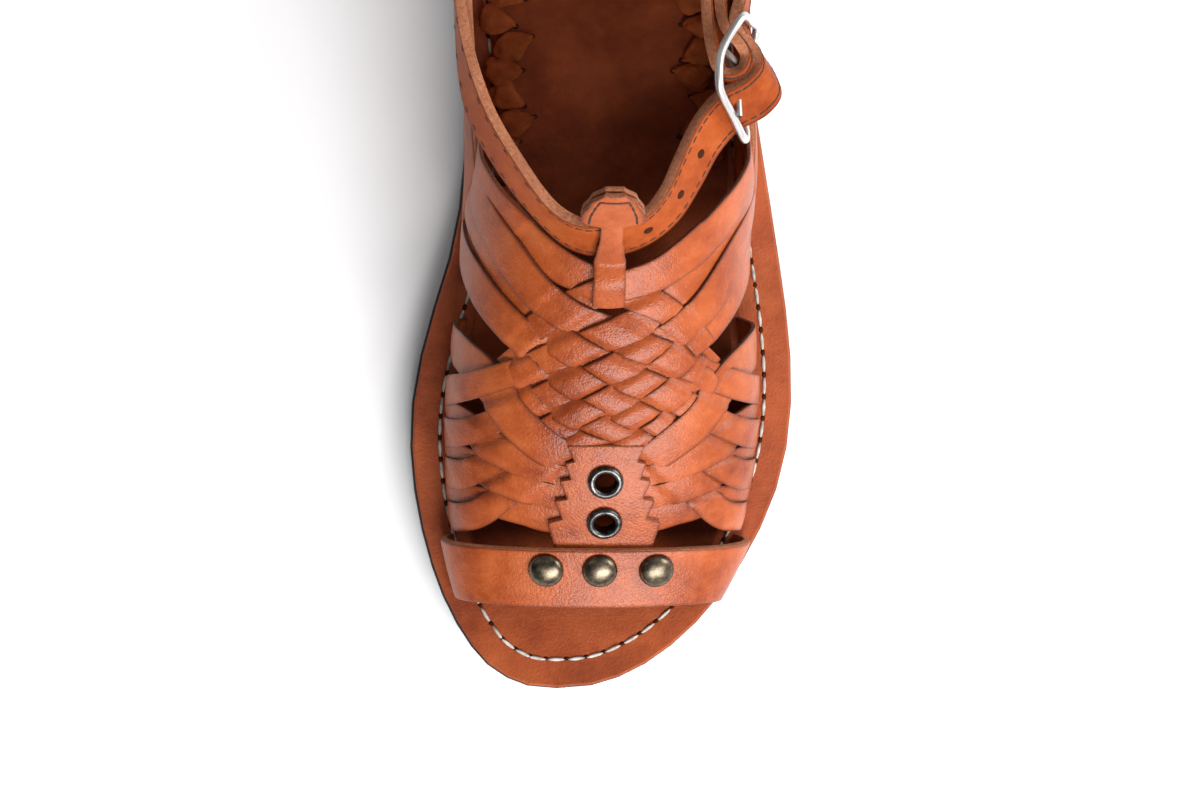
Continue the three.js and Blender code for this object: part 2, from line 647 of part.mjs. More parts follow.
// quarters and heel in one wall from side to side
function wall() {
  const line = column(TOP_LINE, 1);
  const start = TOP_LINE[0][0] * LENGTH;
  const lean = LEAN * LENGTH;
  const stop = HEEL_FROM * LENGTH;
  const { middle, half, swell } = foot(stop);
  const rows = [];
  const across = 5;
  const sideRow = (s, sign) => {
    const top = line(s / LENGTH);
    return Array.from({ length: across }, (_, k) => {
      const u = mix(UNDER, top, k / (across - 1));
      const back = clamp(1 - (s - start) / (1.6 * lean), 0, 1) * lean * ((u - top) / (1 - top));
      return skin(s - back, sign * u);
    });
  };
  const sideStops = Array.from({ length: 13 }, (_, k) => mix(start, stop, k / 12));
  for (const s of sideStops) rows.push(sideRow(s, -1));
  for (let k = 1; k < 16; k++) {
    const turn = (Math.PI * k) / 16;
    const t = mix(HEEL_FROM, 1, Math.sin(turn));
    const top = line(t);
    rows.push(Array.from({ length: across }, (_, j) => {
      const u = mix(UNDER, top, j / (across - 1));
      const reach = Math.sin(u * FULL);
      const s = stop + HEEL_DEEP * LENGTH * reach * Math.sin(turn);
      const high = swell * (Math.cos(u * FULL) + Math.sin(TURN));
      return vec(middle - half * reach * Math.cos(turn), s - LENGTH / 2, deck(stop) + high);
    }));
  }
  for (const s of sideStops.reverse()) rows.push(sideRow(s, 1));
  return sheet(rows, STRIP, -LEVEL);
}

// everything of the upper is cut off flat just above the midsole
const floorCut = layer([[-SEAT, () => -SEAT], [-SEAT, (s) => deck(clamp(s, 0, LENGTH)) + GAP]]);

// Instep strap

const strapRow = (i) => {
  const [a, b, c, d, e, f] = STRAP_WAY[i];
  const top = vec(b * WIDTH, (a - 0.5) * LENGTH, c * HEIGHT);
  const low = vec(e * WIDTH, (d - 0.5) * LENGTH, f * HEIGHT);
  return [top, low];
};
const strapEdges = [0, 1].map((k) => {
  const edge = STRAP_WAY.map((_, i) => strapRow(i)[k]);
  return new THREE.CatmullRomCurve3(edge, false, 'centripetal');
});
const strapAt = (row) => strapEdges.map((edge) => edge.getPoint(row / (STRAP_WAY.length - 1)));
function strapFrame(row) {
  const [top, low] = strapAt(row);
  const up = top.clone().sub(low).normalize();
  const ahead = strapAt(row + 0.05)[0].add(strapAt(row + 0.05)[1]).sub(top).sub(low).normalize();
  return { top, low, up, out: up.clone().cross(ahead).normalize() };
}
const strapRows = [];
for (let i = 0; i + 1 < STRAP_WAY.length; i++) {
  for (const part of [0, 0.5]) strapRows.push(strapAt(i + part));
}
strapRows.push(strapAt(STRAP_WAY.length - 1));
let strap = sheet(strapRows, STRAP);

// Tab

const hold = strapFrame(STRAP_UNDER_TAB);
hold.out.setX(0).normalize();
hold.up.setX(0).normalize();
if (hold.out.z < 0) hold.out.negate();
const strapWide = hold.top.clone().sub(hold.low).setX(0).length();
const tabCentre = (hold.top.x + hold.low.x) / 2;
const clear = STRAP / 2 + GAP + STRIP / 2 + SLACK;
function tabRow(past, half, lift) {
  const at = hold.low.clone().setX(0);
  at.addScaledVector(hold.up, past * strapWide).addScaledVector(hold.out, lift);
  return [vec(tabCentre - half * WIDTH, at.y, at.z), vec(tabCentre + half * WIDTH, at.y, at.z)];
}
const tabOuter = TAB.map(([past, half]) => {
  if (past < 0) {
    const s = hold.low.y + LENGTH / 2 + past * strapWide * TAB_STRETCH;
    const risen = clamp((past - TAB[0][0]) / (TAB[1][0] - TAB[0][0]), 0, 1);
    const at = lifted(s, 0, mix(LEVEL, LEVEL + RISE + STRIP, ease(risen)));
    return [vec(tabCentre - half * WIDTH, at.y, at.z), vec(tabCentre + half * WIDTH, at.y, at.z)];
  }
  return tabRow(past, half, clear);
});
const tabInner = TAB.filter(([past]) => past >= 0).map(([past, half]) => {
  const shut = ease(clamp((past - TAB_SHUTS[0]) / (TAB_SHUTS[1] - TAB_SHUTS[0]), 0, 1));
  return tabRow(past, half, mix(-clear, clear - STRIP * 0.9, shut));
});
const tab = sheet(tabOuter, STRIP).add(sheet(tabInner, STRIP));

// Toe band

const BAND_FOLDS = 22;
const bandTop = (u) => LEVEL + RISE + STRIP / 2 + GAP + BAND + BAND_EASE - BAND_DROP * u ** 4;
const bandRow = (u) => [0, 0.5, 1].map((v) => {
  const [front, rear] = [BAND_FRONT, BAND_REAR].map(([middle, back]) => middle + back * u * u);
  return lifted(mix(front, rear, v) * LENGTH, u, bandTop(u) - BAND / 2);
});
const bandRows = Array.from({ length: BAND_FOLDS + 1 }, (_, k) => bandRow(mix(-UNDER, UNDER, k / BAND_FOLDS)));
let band = sheet(bandRows, BAND).subtract(floorCut);

// Studs and eyelets

const studs = STUDS.map((across) => {
  const s = STUD_ALONG * LENGTH;
  const u = roundAt(s, across * WIDTH);
  return { at: lifted(s, u, bandTop(u) + GAP), axis: skinNormal(s, u) };
});
const studShape = STUD_SHAPE.map(([r, z]) => [r * STUD, z * STUD_HIGH]);
const shankSides = 10;
const studSolids = studs.map((stud) => {
  const shank = pin(stud, SHANK, -SHANK_DEEP, GAP, shankSides);
  return turned(studShape, stud).add(shank);
});
const shankHole = (stud, deep) => pin(stud, SHANK + GAP, -deep, STUD_HIGH / 2, shankSides);
for (const stud of studs) band = band.subtract(shankHole(stud, 2 * SHANK_DEEP));

const eyelets = EYELETS.map((t) => {
  const s = t * LENGTH;
  const u = roundAt(s, EYELET_ACROSS * WIDTH);
  return { at: lifted(s, u, LEVEL + RISE + STRIP / 2 + GAP), axis: skinNormal(s, u) };
});
const barrel = EYELET_BORE + EYELET_WALL;
const eyeletShape = [
  [EYELET_BORE, -EYELET_DEEP], [barrel, -EYELET_DEEP], [barrel, 0], [EYELET_FLANGE, 0],
  [EYELET_FLANGE, 0.4 * EYELET_HIGH], [mix(barrel, EYELET_FLANGE, 0.5), EYELET_HIGH],
  [barrel, EYELET_HIGH], [EYELET_BORE, 0.6 * EYELET_HIGH],
];
const eyeletSolids = eyelets.map((place) => turned(eyeletShape, place));

// the strips are cut away under the eyelets, and the tongue is bored for them
let upper = joined([...strips.map(ribbon), wall()]);
const under = 3 * STRIP;
for (const place of eyelets) {
  upper = upper.subtract(pin(place, barrel + 2 * GAP, -under - STRIP, -STRIP - 4 * GAP, 16));
}
upper = joined([upper, tongue, tab]);
for (const place of eyelets) upper = upper.subtract(pin(place, barrel + GAP, -under - STRIP, STRIP, 20));
for (const stud of studs) upper = upper.subtract(shankHole(stud, 2 * SHANK_DEEP));
upper = upper.subtract(floorCut).subtract(sheet(strapRows, STRAP + 2 * GAP));
// tiny pockets closed in between strips are filled
upper = upper.simplify(0.75 * GAP).decompose().sort((a, b) => b.volume() - a.volume())[0];

// Buckle: frame, bar and prong
const front = strapFrame(STRAP_UNDER_FRONT_BAR);
const rear = strapFrame(STRAP_UNDER_REAR_BAR);
const beside = STRAP / 2 + 1.5 * GAP + WIRE;
const corner = (frame, end) => (end > 0 ? frame.top : frame.low).clone()
  .addScaledVector(frame.up, end * BUCKLE_PAST).addScaledVector(frame.out, beside);
for (const frame of [front, rear]) if (frame.out.x < 0) frame.out.negate();
const [fu, fl, ru, rl] = [corner(front, 1), corner(front, -1), corner(rear, 1), corner(rear, -1)];
const between = (p, q, t) => p.clone().lerp(q, t);
const bow = vec(-BUCKLE_BOW, 0, 0);
const spread = vec(0, 0, BUCKLE_BOW / 2);
const foldAt = between(strapRow(STRAP_FOLD[0])[0], strapRow(STRAP_FOLD[1])[0], 0.5);
const foldLow = between(strapRow(STRAP_FOLD[0])[1], strapRow(STRAP_FOLD[1])[1], 0.5);
const foldUp = foldAt.clone().sub(foldLow).normalize();
const sideTop = between(fu, ru, 0.5).add(bow).add(spread);
const sideLow = between(fl, rl, 0.5).add(bow).sub(spread);
const bar = (p, q) => [0.06, 0.5, 0.94].map((t) => between(p, q, t));
const round = (p, q, t, frame, end) => between(p, q, t).addScaledVector(frame.up, end * 2 * GAP);
const frameWay = [
  ...bar(fu, fl), round(fl, sideLow, 0.12, front, -1), sideLow, round(sideLow, rl, 0.88, rear, -1),
  ...bar(rl, ru), round(ru, sideTop, 0.12, rear, 1), sideTop, round(sideTop, fu, 0.88, front, 1),
];
const middleWay = [
  sideLow, foldLow.clone().addScaledVector(foldUp, -BUCKLE_BOW / 2),
  foldAt.clone().addScaledVector(foldUp, BUCKLE_BOW / 2), sideTop,
];
const buckle = rod(frameWay, WIRE, true, 36, 6).add(rod(middleWay, WIRE, false, 8, 6));

// the prong hangs on the bar in the strap's fold and rests on the front bar through a hole
const prongFrom = between(foldAt, foldLow, 0.5);
const prongTo = between(fu, fl, 0.5).addScaledVector(front.out, WIRE + PRONG + 5 * GAP);
const prongWay = prongTo.clone().sub(prongFrom);
const reach = prongWay.length() + PRONG / 2;
const prongLine = { at: prongFrom, axis: prongWay.normalize() };
const barLine = { at: prongFrom, axis: foldUp };
const eye = WIRE + 2 * GAP; // inside of the prong's ring
const ring = [[eye, -PRONG], [eye + RING, -PRONG], [eye + RING, PRONG], [eye, PRONG]];
const prong = turned(ring, barLine, 12).add(pin(prongLine, PRONG, eye + RING / 2, reach, 8));
strap = strap.subtract(pin(prongLine, PRONG + GAP, WIRE, reach + PRONG, 8));
strap = strap.subtract(pin(barLine, eye + RING + GAP, -PRONG - GAP, PRONG + GAP, 16));

// The assembly, standing on its sole

const group = new THREE.Group();
group.name = 'huarache';
const FINE = 0.03;
const leather = 0xb5572c;
const nickel = 0xc9c9c6;
const brass = 0x6f5a41;
const gunmetal = 0x4a4a4c;
const METAL = [nickel, brass, gunmetal];
const parts = [
  ['outsole', outsole, 0x1b1a19],
  ['midsole', midsole, 0xa14f2a],
  ['insole', insole, 0x7a3a1e],
  ['upper', upper, leather],
  ['toe_band', band, leather],
  ['instep_strap', strap, leather],
  ['buckle', buckle, nickel],
  ['buckle_prong', prong, nickel],
  ...studSolids.map((solid, i) => [`stud_${i + 1}`, solid, brass]),
  ...eyeletSolids.map((solid, i) => [`eyelet_${i + 1}`, solid, gunmetal]),
];
const all = new THREE.Box3();
for (const [, solid] of parts) {
  const { min, max } = solid.boundingBox();
  all.union(new THREE.Box3(vec(...min), vec(...max)));
}
const centre = all.getCenter(vec(0, 0, 0)).setZ(all.min.z);
for (const [name, solid, color] of parts) {
  const stood = solid.simplify(FINE).translate([-centre.x, -centre.y, -centre.z]);
  const finish = METAL.includes(color) ? { color, metalness: 1, roughness: 0.3 } : { color, roughness: 0.6 };
  const mesh = new THREE.Mesh(toGeometry(stood), new THREE.MeshStandardMaterial(finish));
  mesh.name = name;
  group.add(mesh);
}

export default group;
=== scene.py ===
import math

import bmesh
import bpy
from mathutils import Matrix, Vector, noise


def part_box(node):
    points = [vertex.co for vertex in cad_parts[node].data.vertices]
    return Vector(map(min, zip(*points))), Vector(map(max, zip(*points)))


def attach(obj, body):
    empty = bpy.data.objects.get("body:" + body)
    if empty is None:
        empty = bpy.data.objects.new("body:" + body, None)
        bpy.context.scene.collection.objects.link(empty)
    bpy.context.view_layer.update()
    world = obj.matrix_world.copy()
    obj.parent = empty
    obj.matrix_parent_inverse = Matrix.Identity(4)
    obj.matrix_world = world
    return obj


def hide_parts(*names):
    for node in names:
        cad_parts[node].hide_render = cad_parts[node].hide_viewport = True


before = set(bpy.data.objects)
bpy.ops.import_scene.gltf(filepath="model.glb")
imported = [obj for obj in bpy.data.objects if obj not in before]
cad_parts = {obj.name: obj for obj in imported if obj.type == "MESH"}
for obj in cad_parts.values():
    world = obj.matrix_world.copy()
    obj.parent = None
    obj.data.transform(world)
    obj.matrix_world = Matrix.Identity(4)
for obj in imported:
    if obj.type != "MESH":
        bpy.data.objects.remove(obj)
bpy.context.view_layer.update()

# The outsole is one black rubber moulding with a plain side step and cross
# grooves below. It is cemented under the leather midsole.
MM = 0.001
RUBBER = (0.012, 0.011, 0.010, 1)
DUSTY_RUBBER = (0.035, 0.032, 0.029, 1)
DUST_PATCH = 14 * MM
RUBBER_PEBBLE = 0.6 * MM
PEBBLE_DEEP = 0.1 * MM


class Wire:
    """One socket of a material, with Python's operators for its maths."""

    def __init__(self, tree, socket):
        self.tree = tree
        self.socket = socket

    def __add__(self, other):
        return node(self.tree, "ShaderNodeMath", {"operation": "ADD"}, [self, other])

    def __mul__(self, other):
        return node(self.tree, "ShaderNodeMath", {"operation": "MULTIPLY"}, [self, other])

    __radd__ = __add__
    __rmul__ = __mul__


def node(tree, kind, settings=None, inputs=None, output=0):
    """Adds a node with its settings and the values or links of its sockets."""
    made = tree.nodes.new(kind)
    for name, value in (settings or {}).items():
        if name != "stops":
            setattr(made, name, value)
            continue
        stops = made.color_ramp.elements
        for i, (at, colour) in enumerate(value):
            stop = stops[i] if i < 2 else stops.new(at)
            stop.position = at
            stop.color = colour
    given = inputs or {}
    pairs = given.items() if isinstance(given, dict) else enumerate(given)
    for name, value in pairs:
        if isinstance(value, Wire):
            tree.links.new(value.socket, made.inputs[name])
        else:
            made.inputs[name].default_value = value
    return Wire(tree, made.outputs[output])


def finish(name, **values):
    """A material, its node tree and its main shader, with plain values set on the shader."""
    material = bpy.data.materials.new(name)
    material.use_nodes = True
    shader = material.node_tree.nodes["Principled BSDF"]
    for socket, value in values.items():
        shader.inputs[socket.replace("_", " ")].default_value = value
    return material, material.node_tree, shader


def feed(tree, shader, **wires):
    """Links what changes over the surface to the main shader."""
    for socket, wire in wires.items():
        tree.links.new(wire.socket, shader.inputs[socket.replace("_", " ")])


def surface(tree):
    """Places on the piece itself, which its patterns follow."""
    return node(tree, "ShaderNodeTexCoord", output=3)


def grain(tree, where, size, detail=2.0, rough=0.5):
    """Noise whose marks are about size metres wide."""
    return node(
        tree, "ShaderNodeTexNoise", None,
        {"Vector": where, "Scale": 1 / size, "Detail": detail, "Roughness": rough})


def ramp(tree, factor, *stops):
    """Colours that follow a factor from stop to stop."""
    return node(tree, "ShaderNodeValToRGB", {"stops": stops}, [factor])


def bumped(tree, height, strength, deep):
    """Lumps and dents of a height, up to deep metres."""
    return node(
        tree, "ShaderNodeBump", None, {"Strength": strength, "Distance": deep, "Height": height})


def cover(node_name, material):
    """Gives a node of the frame its material."""
    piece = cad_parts[node_name]
    piece.data.materials.clear()
    piece.data.materials.append(material)


rubber, tree, shader = finish("black_rubber", Roughness=0.62, Specular_IOR_Level=0.4)
where = surface(tree)
dusty = ramp(tree, grain(tree, where, DUST_PATCH, 6), (0.35, RUBBER), (0.8, DUSTY_RUBBER))
pebble = grain(tree, where, RUBBER_PEBBLE, 3)
feed(tree, shader, Base_Color=dusty, Normal=bumped(tree, pebble, 0.25, PEBBLE_DEEP))
cover("outsole", rubber)

# The midsole is thick oiled leather, cut to the foot's outline. Its edge is
# sanded and dyed, and a row of waxed off-white thread holds it to the sole.
# The outline gives shares of the length, with the inner and the outer edge.
LENGTH = 252.0
WIDTH = 101.0
BALL = 13.0
SEAT = 18.0
TOE_UP = 5
TOE_LONG = 35
HEEL_RISE_FROM = 95
HEEL_RISE_LONG = 90
OUTLINE = [
    (0.005, -0.216, -0.003), (0.026, -0.305, 0.118), (0.056, -0.364, 0.218),
    (0.095, -0.416, 0.309), (0.153, -0.464, 0.402), (0.216, -0.494, 0.467),
    (0.27, -0.501, 0.493), (0.321, -0.488, 0.499), (0.384, -0.45, 0.488),
    (0.456, -0.396, 0.462), (0.531, -0.365, 0.431), (0.615, -0.362, 0.396),
    (0.698, -0.384, 0.368), (0.774, -0.396, 0.352), (0.845, -0.384, 0.349),
    (0.909, -0.332, 0.303), (0.956, -0.248, 0.222), (0.988, -0.124, 0.099),
]
TOE_TIP = (0.0, -0.124)
HEEL_TIP = (1.0, -0.015)


class Line:
    """A smooth line through points, walked by the share of its length."""

    def __init__(self, points, closed=False, fine=12):
        p = [Vector(q) for q in points]
        n = len(p)
        self.at_points = []
        for i in range(n if closed else n - 1):
            b, c = p[i], p[(i + 1) % n]
            a = p[i - 1] if closed or i else b * 2 - c
            d = p[(i + 2) % n] if closed or i + 2 < n else c * 2 - b
            t1 = max((b - a).length, 1e-6) ** 0.5
            t2 = t1 + max((c - b).length, 1e-6) ** 0.5
            t3 = t2 + max((d - c).length, 1e-6) ** 0.5
            for k in range(fine):
                t = t1 + (t2 - t1) * k / fine
                ab = a.lerp(b, t / t1)
                bc = b.lerp(c, (t - t1) / (t2 - t1))
                cd = c.lerp(d, (t - t2) / (t3 - t2))
                near = ab.lerp(bc, t / t2)
                far = bc.lerp(cd, (t - t1) / (t3 - t1))
                self.at_points.append(near.lerp(far, (t - t1) / (t2 - t1)))
        self.at_points.append(p[0].copy() if closed else p[-1].copy())
        self.reach = [0.0]
        for a, b in zip(self.at_points, self.at_points[1:]):
            self.reach.append(self.reach[-1] + (b - a).length)
        self.length = self.reach[-1]

    def at(self, share):
        want = min(max(share, 0.0), 1.0) * self.length
        low, high = 0, len(self.reach) - 1
        while high - low > 1:
            middle = (low + high) // 2
            low, high = (middle, high) if self.reach[middle] <= want else (low, middle)
        step = max(self.reach[high] - self.reach[low], 1e-9)
        return self.at_points[low].lerp(self.at_points[high], (want - self.reach[low]) / step)

    def way(self, share, step=0.004):
        return (self.at(share + step) - self.at(share - step)).normalized()


inner_edge = [(s, m) for s, m, l in OUTLINE]
outer_edge = [(s, l) for s, m, l in reversed(OUTLINE)]
rim = Line(
    [(x * WIDTH, s * LENGTH, 0) for s, x in [TOE_TIP, *inner_edge, HEEL_TIP, *outer_edge]],
    closed=True)
rim_x = [p.x for p in rim.at_points]
rim_y = [p.y for p in rim.at_points]
low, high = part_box("outsole")
SHIFT = Vector((
    (low.x + high.x) / 2 - (min(rim_x) + max(rim_x)) / 2 * MM,
    (low.y + high.y) / 2 - (min(rim_y) + max(rim_y)) / 2 * MM, 0))


def placed(p):
    """A point across, along the sole from the toe, and up, in mm, put where the frame has it."""
    return Vector(p) * MM + SHIFT


def ease(t):
    """0 before 0 and 1 after 1, with a soft start and end."""
    t = min(max(t, 0.0), 1.0)
    return t * t * (3 - 2 * t)


def toe_spring(s):
    """How far the sole bends up before the toes."""
    return TOE_UP * min(max((TOE_LONG - s) / TOE_LONG, 0), 1) ** 2


def deck(s):
    """Height of the midsole's top."""
    return toe_spring(s) + BALL + (SEAT - BALL) * ease((s - HEEL_RISE_FROM) / HEEL_RISE_LONG)


CLOUD = 22 * MM
FLECK = 3.5 * MM
PORE = 0.75 * MM
FOLD = 5 * MM
PEBBLE = 0.8 * MM
GRAIN_DEEP = 0.32 * MM


def mixed(tree, factor, a, b):
    """Two colours mixed by a factor."""
    return node(tree, "ShaderNodeMix", {"data_type": "RGBA"}, {0: factor, 6: a, 7: b}, 2)


def leather(name, base, deep, pale, rough=0.42, marks=1.0, crease=1.0, gloss=0.28):
    """Vegetable-tanned leather: clouds of dye, a fine pore grain, and soft creases."""
    material, tree, shader = finish(name, Specular_IOR_Level=gloss)
    where = surface(tree)
    cloud = grain(tree, where, CLOUD, 5, 0.6)
    fleck = grain(tree, where, FLECK, 6, 0.65)
    clouded = ramp(tree, cloud, (0.3, deep), (0.52, base), (0.75, pale))
    speckled = ramp(tree, fleck, (0.35, deep), (0.7, pale))
    flecked = mixed(tree, fleck * (0.45 * marks), clouded, speckled)
    # Within a little of each cut edge the top is darkened: partly burnish, partly painted shade in
    # the gaps between the strips.
    burnish_and_shade = node(tree, "ShaderNodeAttribute", {"attribute_name": "burnish_and_shade"}, output=2)
    burnish_and_shade_colour = tuple(0.45 * c for c in deep[:3]) + (1,)
    edged = mixed(tree, burnish_and_shade * burnish_and_shade * 0.9, flecked, burnish_and_shade_colour)
    pores = node(
        tree, "ShaderNodeTexVoronoi", {"feature": "DISTANCE_TO_EDGE"},
        {"Vector": where, "Scale": 1 / PORE})
    drawn = node(tree, "ShaderNodeMapping", None, {"Vector": where, "Scale": (1.0, 0.35, 1.0)})
    folds = grain(tree, drawn, FOLD, 5, 0.7)
    height = pores * 0.5 + folds * (0.75 * crease) + grain(tree, where, PEBBLE, 3) * 0.9
    shine = cloud * 0.16 + fleck * 0.12 + (rough - 0.14)
    feed(
        tree, shader, Base_Color=edged, Roughness=shine,
        Normal=bumped(tree, height, 0.5, GRAIN_DEEP))
    return material


sole_leather = leather(
    "sole_leather", base=(0.29, 0.055, 0.012, 1), deep=(0.15, 0.022, 0.005, 1),
    pale=(0.40, 0.09, 0.024, 1), rough=0.5, marks=0.8, crease=0.6)
cover("midsole", sole_leather)

STITCH_IN = 8.0
STITCH_PITCH = 6.2
STITCH = (2.3, 0.465, 0.4125)
STITCH_UP = 0.18
NEEDLE_HOLE = (1.05, 0.7, 0.1)
NEEDLE_HOLE_UP = 0.02
HEEL_BARE = 4
RIM_STEP = 0.003
THREAD_SOILED = (0.22, 0.2, 0.18, 1)
THREAD_CLEAN = (0.6, 0.57, 0.52, 1)


def kept(bm, name, *materials, slot=None, stands_for=()):
    """Makes the object of a finished bmesh and lets it ride on the frame."""
    mesh = bpy.data.meshes.new(name)
    bm.to_mesh(mesh)
    bm.free()
    for polygon in mesh.polygons:
        polygon.use_smooth = True
    for material in materials:
        mesh.materials.append(material)
    piece = bpy.data.objects.new(name, mesh)
    bpy.context.scene.collection.objects.link(piece)
    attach(piece, "root")
    if stands_for:
        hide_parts(*stands_for)
    return piece


def set_down(bm, made, seat, size, material=0):
    """Gives a ball just made its radii in mm, its seat and its material."""
    shape = Matrix.Diagonal((size[0] * MM, size[1] * MM, size[2] * MM, 1))
    bmesh.ops.transform(bm, verts=made["verts"], matrix=seat @ shape)
    for v in made["verts"]:
        for face in v.link_faces:
            face.material_index = material


def rim_in(share, inset):
    """A point of the sole's outline moved in by an inset, and the way along it."""
    way = (rim.at((share + RIM_STEP) % 1.0) - rim.at((share - RIM_STEP) % 1.0)).normalized()
    return rim.at(share % 1.0) + Vector((way.y, -way.x, 0)) * inset, way


thread_white, tree, shader = finish("waxed_thread", Roughness=0.6)
soiled = grain(tree, surface(tree), 2 * MM, 4)
feed(tree, shader, Base_Color=ramp(tree, soiled, (0.3, THREAD_SOILED), (0.7, THREAD_CLEAN)))
# Dark brown for the holes, which are not cut: painted shade standing for the needle, strap and
# lacing holes.
hole_shade, tree, shader = finish(
    "painted_hole_shade", Base_Color=(0.045, 0.013, 0.006, 1), Roughness=0.9, Specular_IOR_Level=0.05)

stitches = bmesh.new()
count = round(rim.length / STITCH_PITCH)
for k in range(count):
    at, way = rim_in(k / count, STITCH_IN)
    if at.y > LENGTH - HEEL_BARE:
        continue
    turn = Matrix.Rotation(math.atan2(way.y, way.x), 4, "Z")
    seat = Matrix.Translation(placed((at.x, at.y, deck(at.y) + STITCH_UP)))
    made = bmesh.ops.create_icosphere(stitches, subdivisions=2, radius=1)
    set_down(stitches, made, seat @ turn, STITCH)
    # Between two stitches a small dark lump is painted shade standing for the needle hole.
    at, way = rim_in((k + 0.5) / count, STITCH_IN)
    seat = Matrix.Translation(placed((at.x, at.y, deck(at.y) + NEEDLE_HOLE_UP)))
    made = bmesh.ops.create_icosphere(stitches, subdivisions=1, radius=1)
    set_down(stitches, made, seat @ turn, NEEDLE_HOLE, material=1)
kept(stitches, "sole_stitches", thread_white, hole_shade)

# The insole is a softer, darker piece of leather glued inside the stitching,
# polished by hand and a little mottled.
insole_leather = leather(
    "insole_leather", base=(0.16, 0.030, 0.007, 1), deep=(0.085, 0.013, 0.003, 1),
    pale=(0.25, 0.054, 0.014, 1), rough=0.45, marks=0.9, crease=0.5, gloss=0.12)
cover("insole", insole_leather)

# The woven front: strips of upper leather start at each edge of the insole,
# cross over and under each other in a plain weave, and run on to the far
# side's quarter. Short strips beside the eyelets are slipped into the tongue.
TAN = (0.35, 0.068, 0.014, 1)
DEEP_TAN = (0.17, 0.024, 0.005, 1)
PALE_TAN = (0.50, 0.125, 0.036, 1)
HEIGHT = 90.0
STRIP = 1.8
LEVEL = 1.9
TURN = math.radians(22)
FULL = math.pi / 2 + TURN
GIRTH = 60.0
FOOT_AT = 0.995
LAST = [
    (0.056, -0.262, 0.18, 0.089), (0.095, -0.322, 0.242, 0.144), (0.159, -0.366, 0.322, 0.222),
    (0.198, -0.38, 0.346, 0.283), (0.246, -0.386, 0.364, 0.344), (0.298, -0.386, 0.37, 0.406),
    (0.337, -0.378, 0.37, 0.45), (0.389, -0.362, 0.356, 0.5), (0.456, -0.345, 0.343, 0.578),
    (0.54, -0.335, 0.352, 0.689), (0.635, -0.34, 0.335, 0.756), (0.734, -0.351, 0.322, 0.778),
    (0.833, -0.337, 0.307, 0.789),
]
STRIPS = {
    "w": (0.079, [
        (0.354, -0.33), (0.372, -0.27), (0.393, -0.17), (0.411, -0.02), (0.427, 0.15),
        (0.454, 0.3), (0.488, 0.45), (0.532, 0.62), (0.575, 0.69),
    ]),
    "y": (0.079, [
        (0.312, -1), (0.31, -0.78), (0.314, -0.56), (0.327, -0.36), (0.343, -0.21), (0.367, 0),
        (0.395, 0.2), (0.444, 0.38), (0.492, 0.56), (0.53, 0.68), (0.572, 0.77),
    ]),
    "a": (0.077, [
        (0.27, -1), (0.267, -0.76), (0.27, -0.54), (0.286, -0.36), (0.308, -0.2), (0.331, -0.01),
        (0.359, 0.17), (0.395, 0.33), (0.452, 0.52), (0.492, 0.68), (0.53, 0.79), (0.57, 0.86),
    ]),
    "c": (0.077, [
        (0.232, -1), (0.227, -0.74), (0.228, -0.55), (0.246, -0.37), (0.27, -0.22), (0.298, -0.02),
        (0.329, 0.16), (0.367, 0.32), (0.419, 0.55), (0.468, 0.8), (0.51, 0.88), (0.555, 0.94),
    ]),
    "e": (0.077, [
        (0.187, -1), (0.183, -0.74), (0.188, -0.5), (0.21, -0.35), (0.242, -0.2), (0.27, -0.03),
        (0.3, 0.17), (0.331, 0.3), (0.352, 0.365),
    ]),
    "b": (0.069, [
        (0.334, -0.352), (0.318, -0.33), (0.3, -0.28), (0.276, -0.19), (0.259, -0.09),
        (0.248, 0.03),
    ]),
    "F0": (0.085, [
        (0.369, -1), (0.357, -0.76), (0.333, -0.52), (0.31, -0.4), (0.282, -0.31), (0.254, -0.19),
        (0.234, -0.09),
    ]),
    "F1": (0.075, [
        (0.294, -1), (0.288, -0.76), (0.272, -0.53), (0.254, -0.4), (0.24, -0.28), (0.227, -0.18),
        (0.218, -0.09),
    ]),
    "F2": (0.073, [
        (0.252, -1), (0.248, -0.76), (0.238, -0.55), (0.225, -0.4), (0.214, -0.28), (0.203, -0.16),
        (0.198, -0.1),
    ]),
    "F3": (0.073, [
        (0.208, -1), (0.204, -0.76), (0.202, -0.53), (0.197, -0.4), (0.19, -0.29), (0.182, -0.18),
        (0.179, -0.12),
    ]),
}
BANDS = ["w", "y", "a", "c", "e", "b"]
SLIPS = ["F0", "F1", "F2", "F3"]


def column(table, k, x):
    """A smooth curve through one column of a table."""
    if x <= table[0][0]:
        return table[0][k]
    if x >= table[-1][0]:
        return table[-1][k]
    i = next(j for j, row in enumerate(table) if row[0] >= x)

    def slope(j):
        a, b = table[max(j - 1, 0)], table[min(j + 1, len(table) - 1)]
        return (b[k] - a[k]) / (b[0] - a[0])

    p, q = table[i - 1], table[i]
    d = q[0] - p[0]
    t = (x - p[0]) / d
    rise = q[k] - p[k]
    bend = t * (1 - t) * ((1 - t) * (slope(i - 1) * d - rise) - t * (slope(i) * d - rise))
    return p[k] + rise * t + bend


def foot(s):
    """Middle, half width and height of the foot, s mm from the toe."""
    t = s / LENGTH
    m, l = column(LAST, 1, t) * WIDTH, column(LAST, 2, t) * WIDTH
    return (m + l) / 2, (l - m) / 2, column(LAST, 3, t) * HEIGHT / (1 + math.sin(TURN))


def skin(s, u):
    """A point on the foot: distance from the toe, share round it."""
    middle, half, swell = foot(s)
    up = deck(s) + swell * (math.cos(u * FULL) + math.sin(TURN))
    return Vector((middle + half * math.sin(u * FULL), s, up))


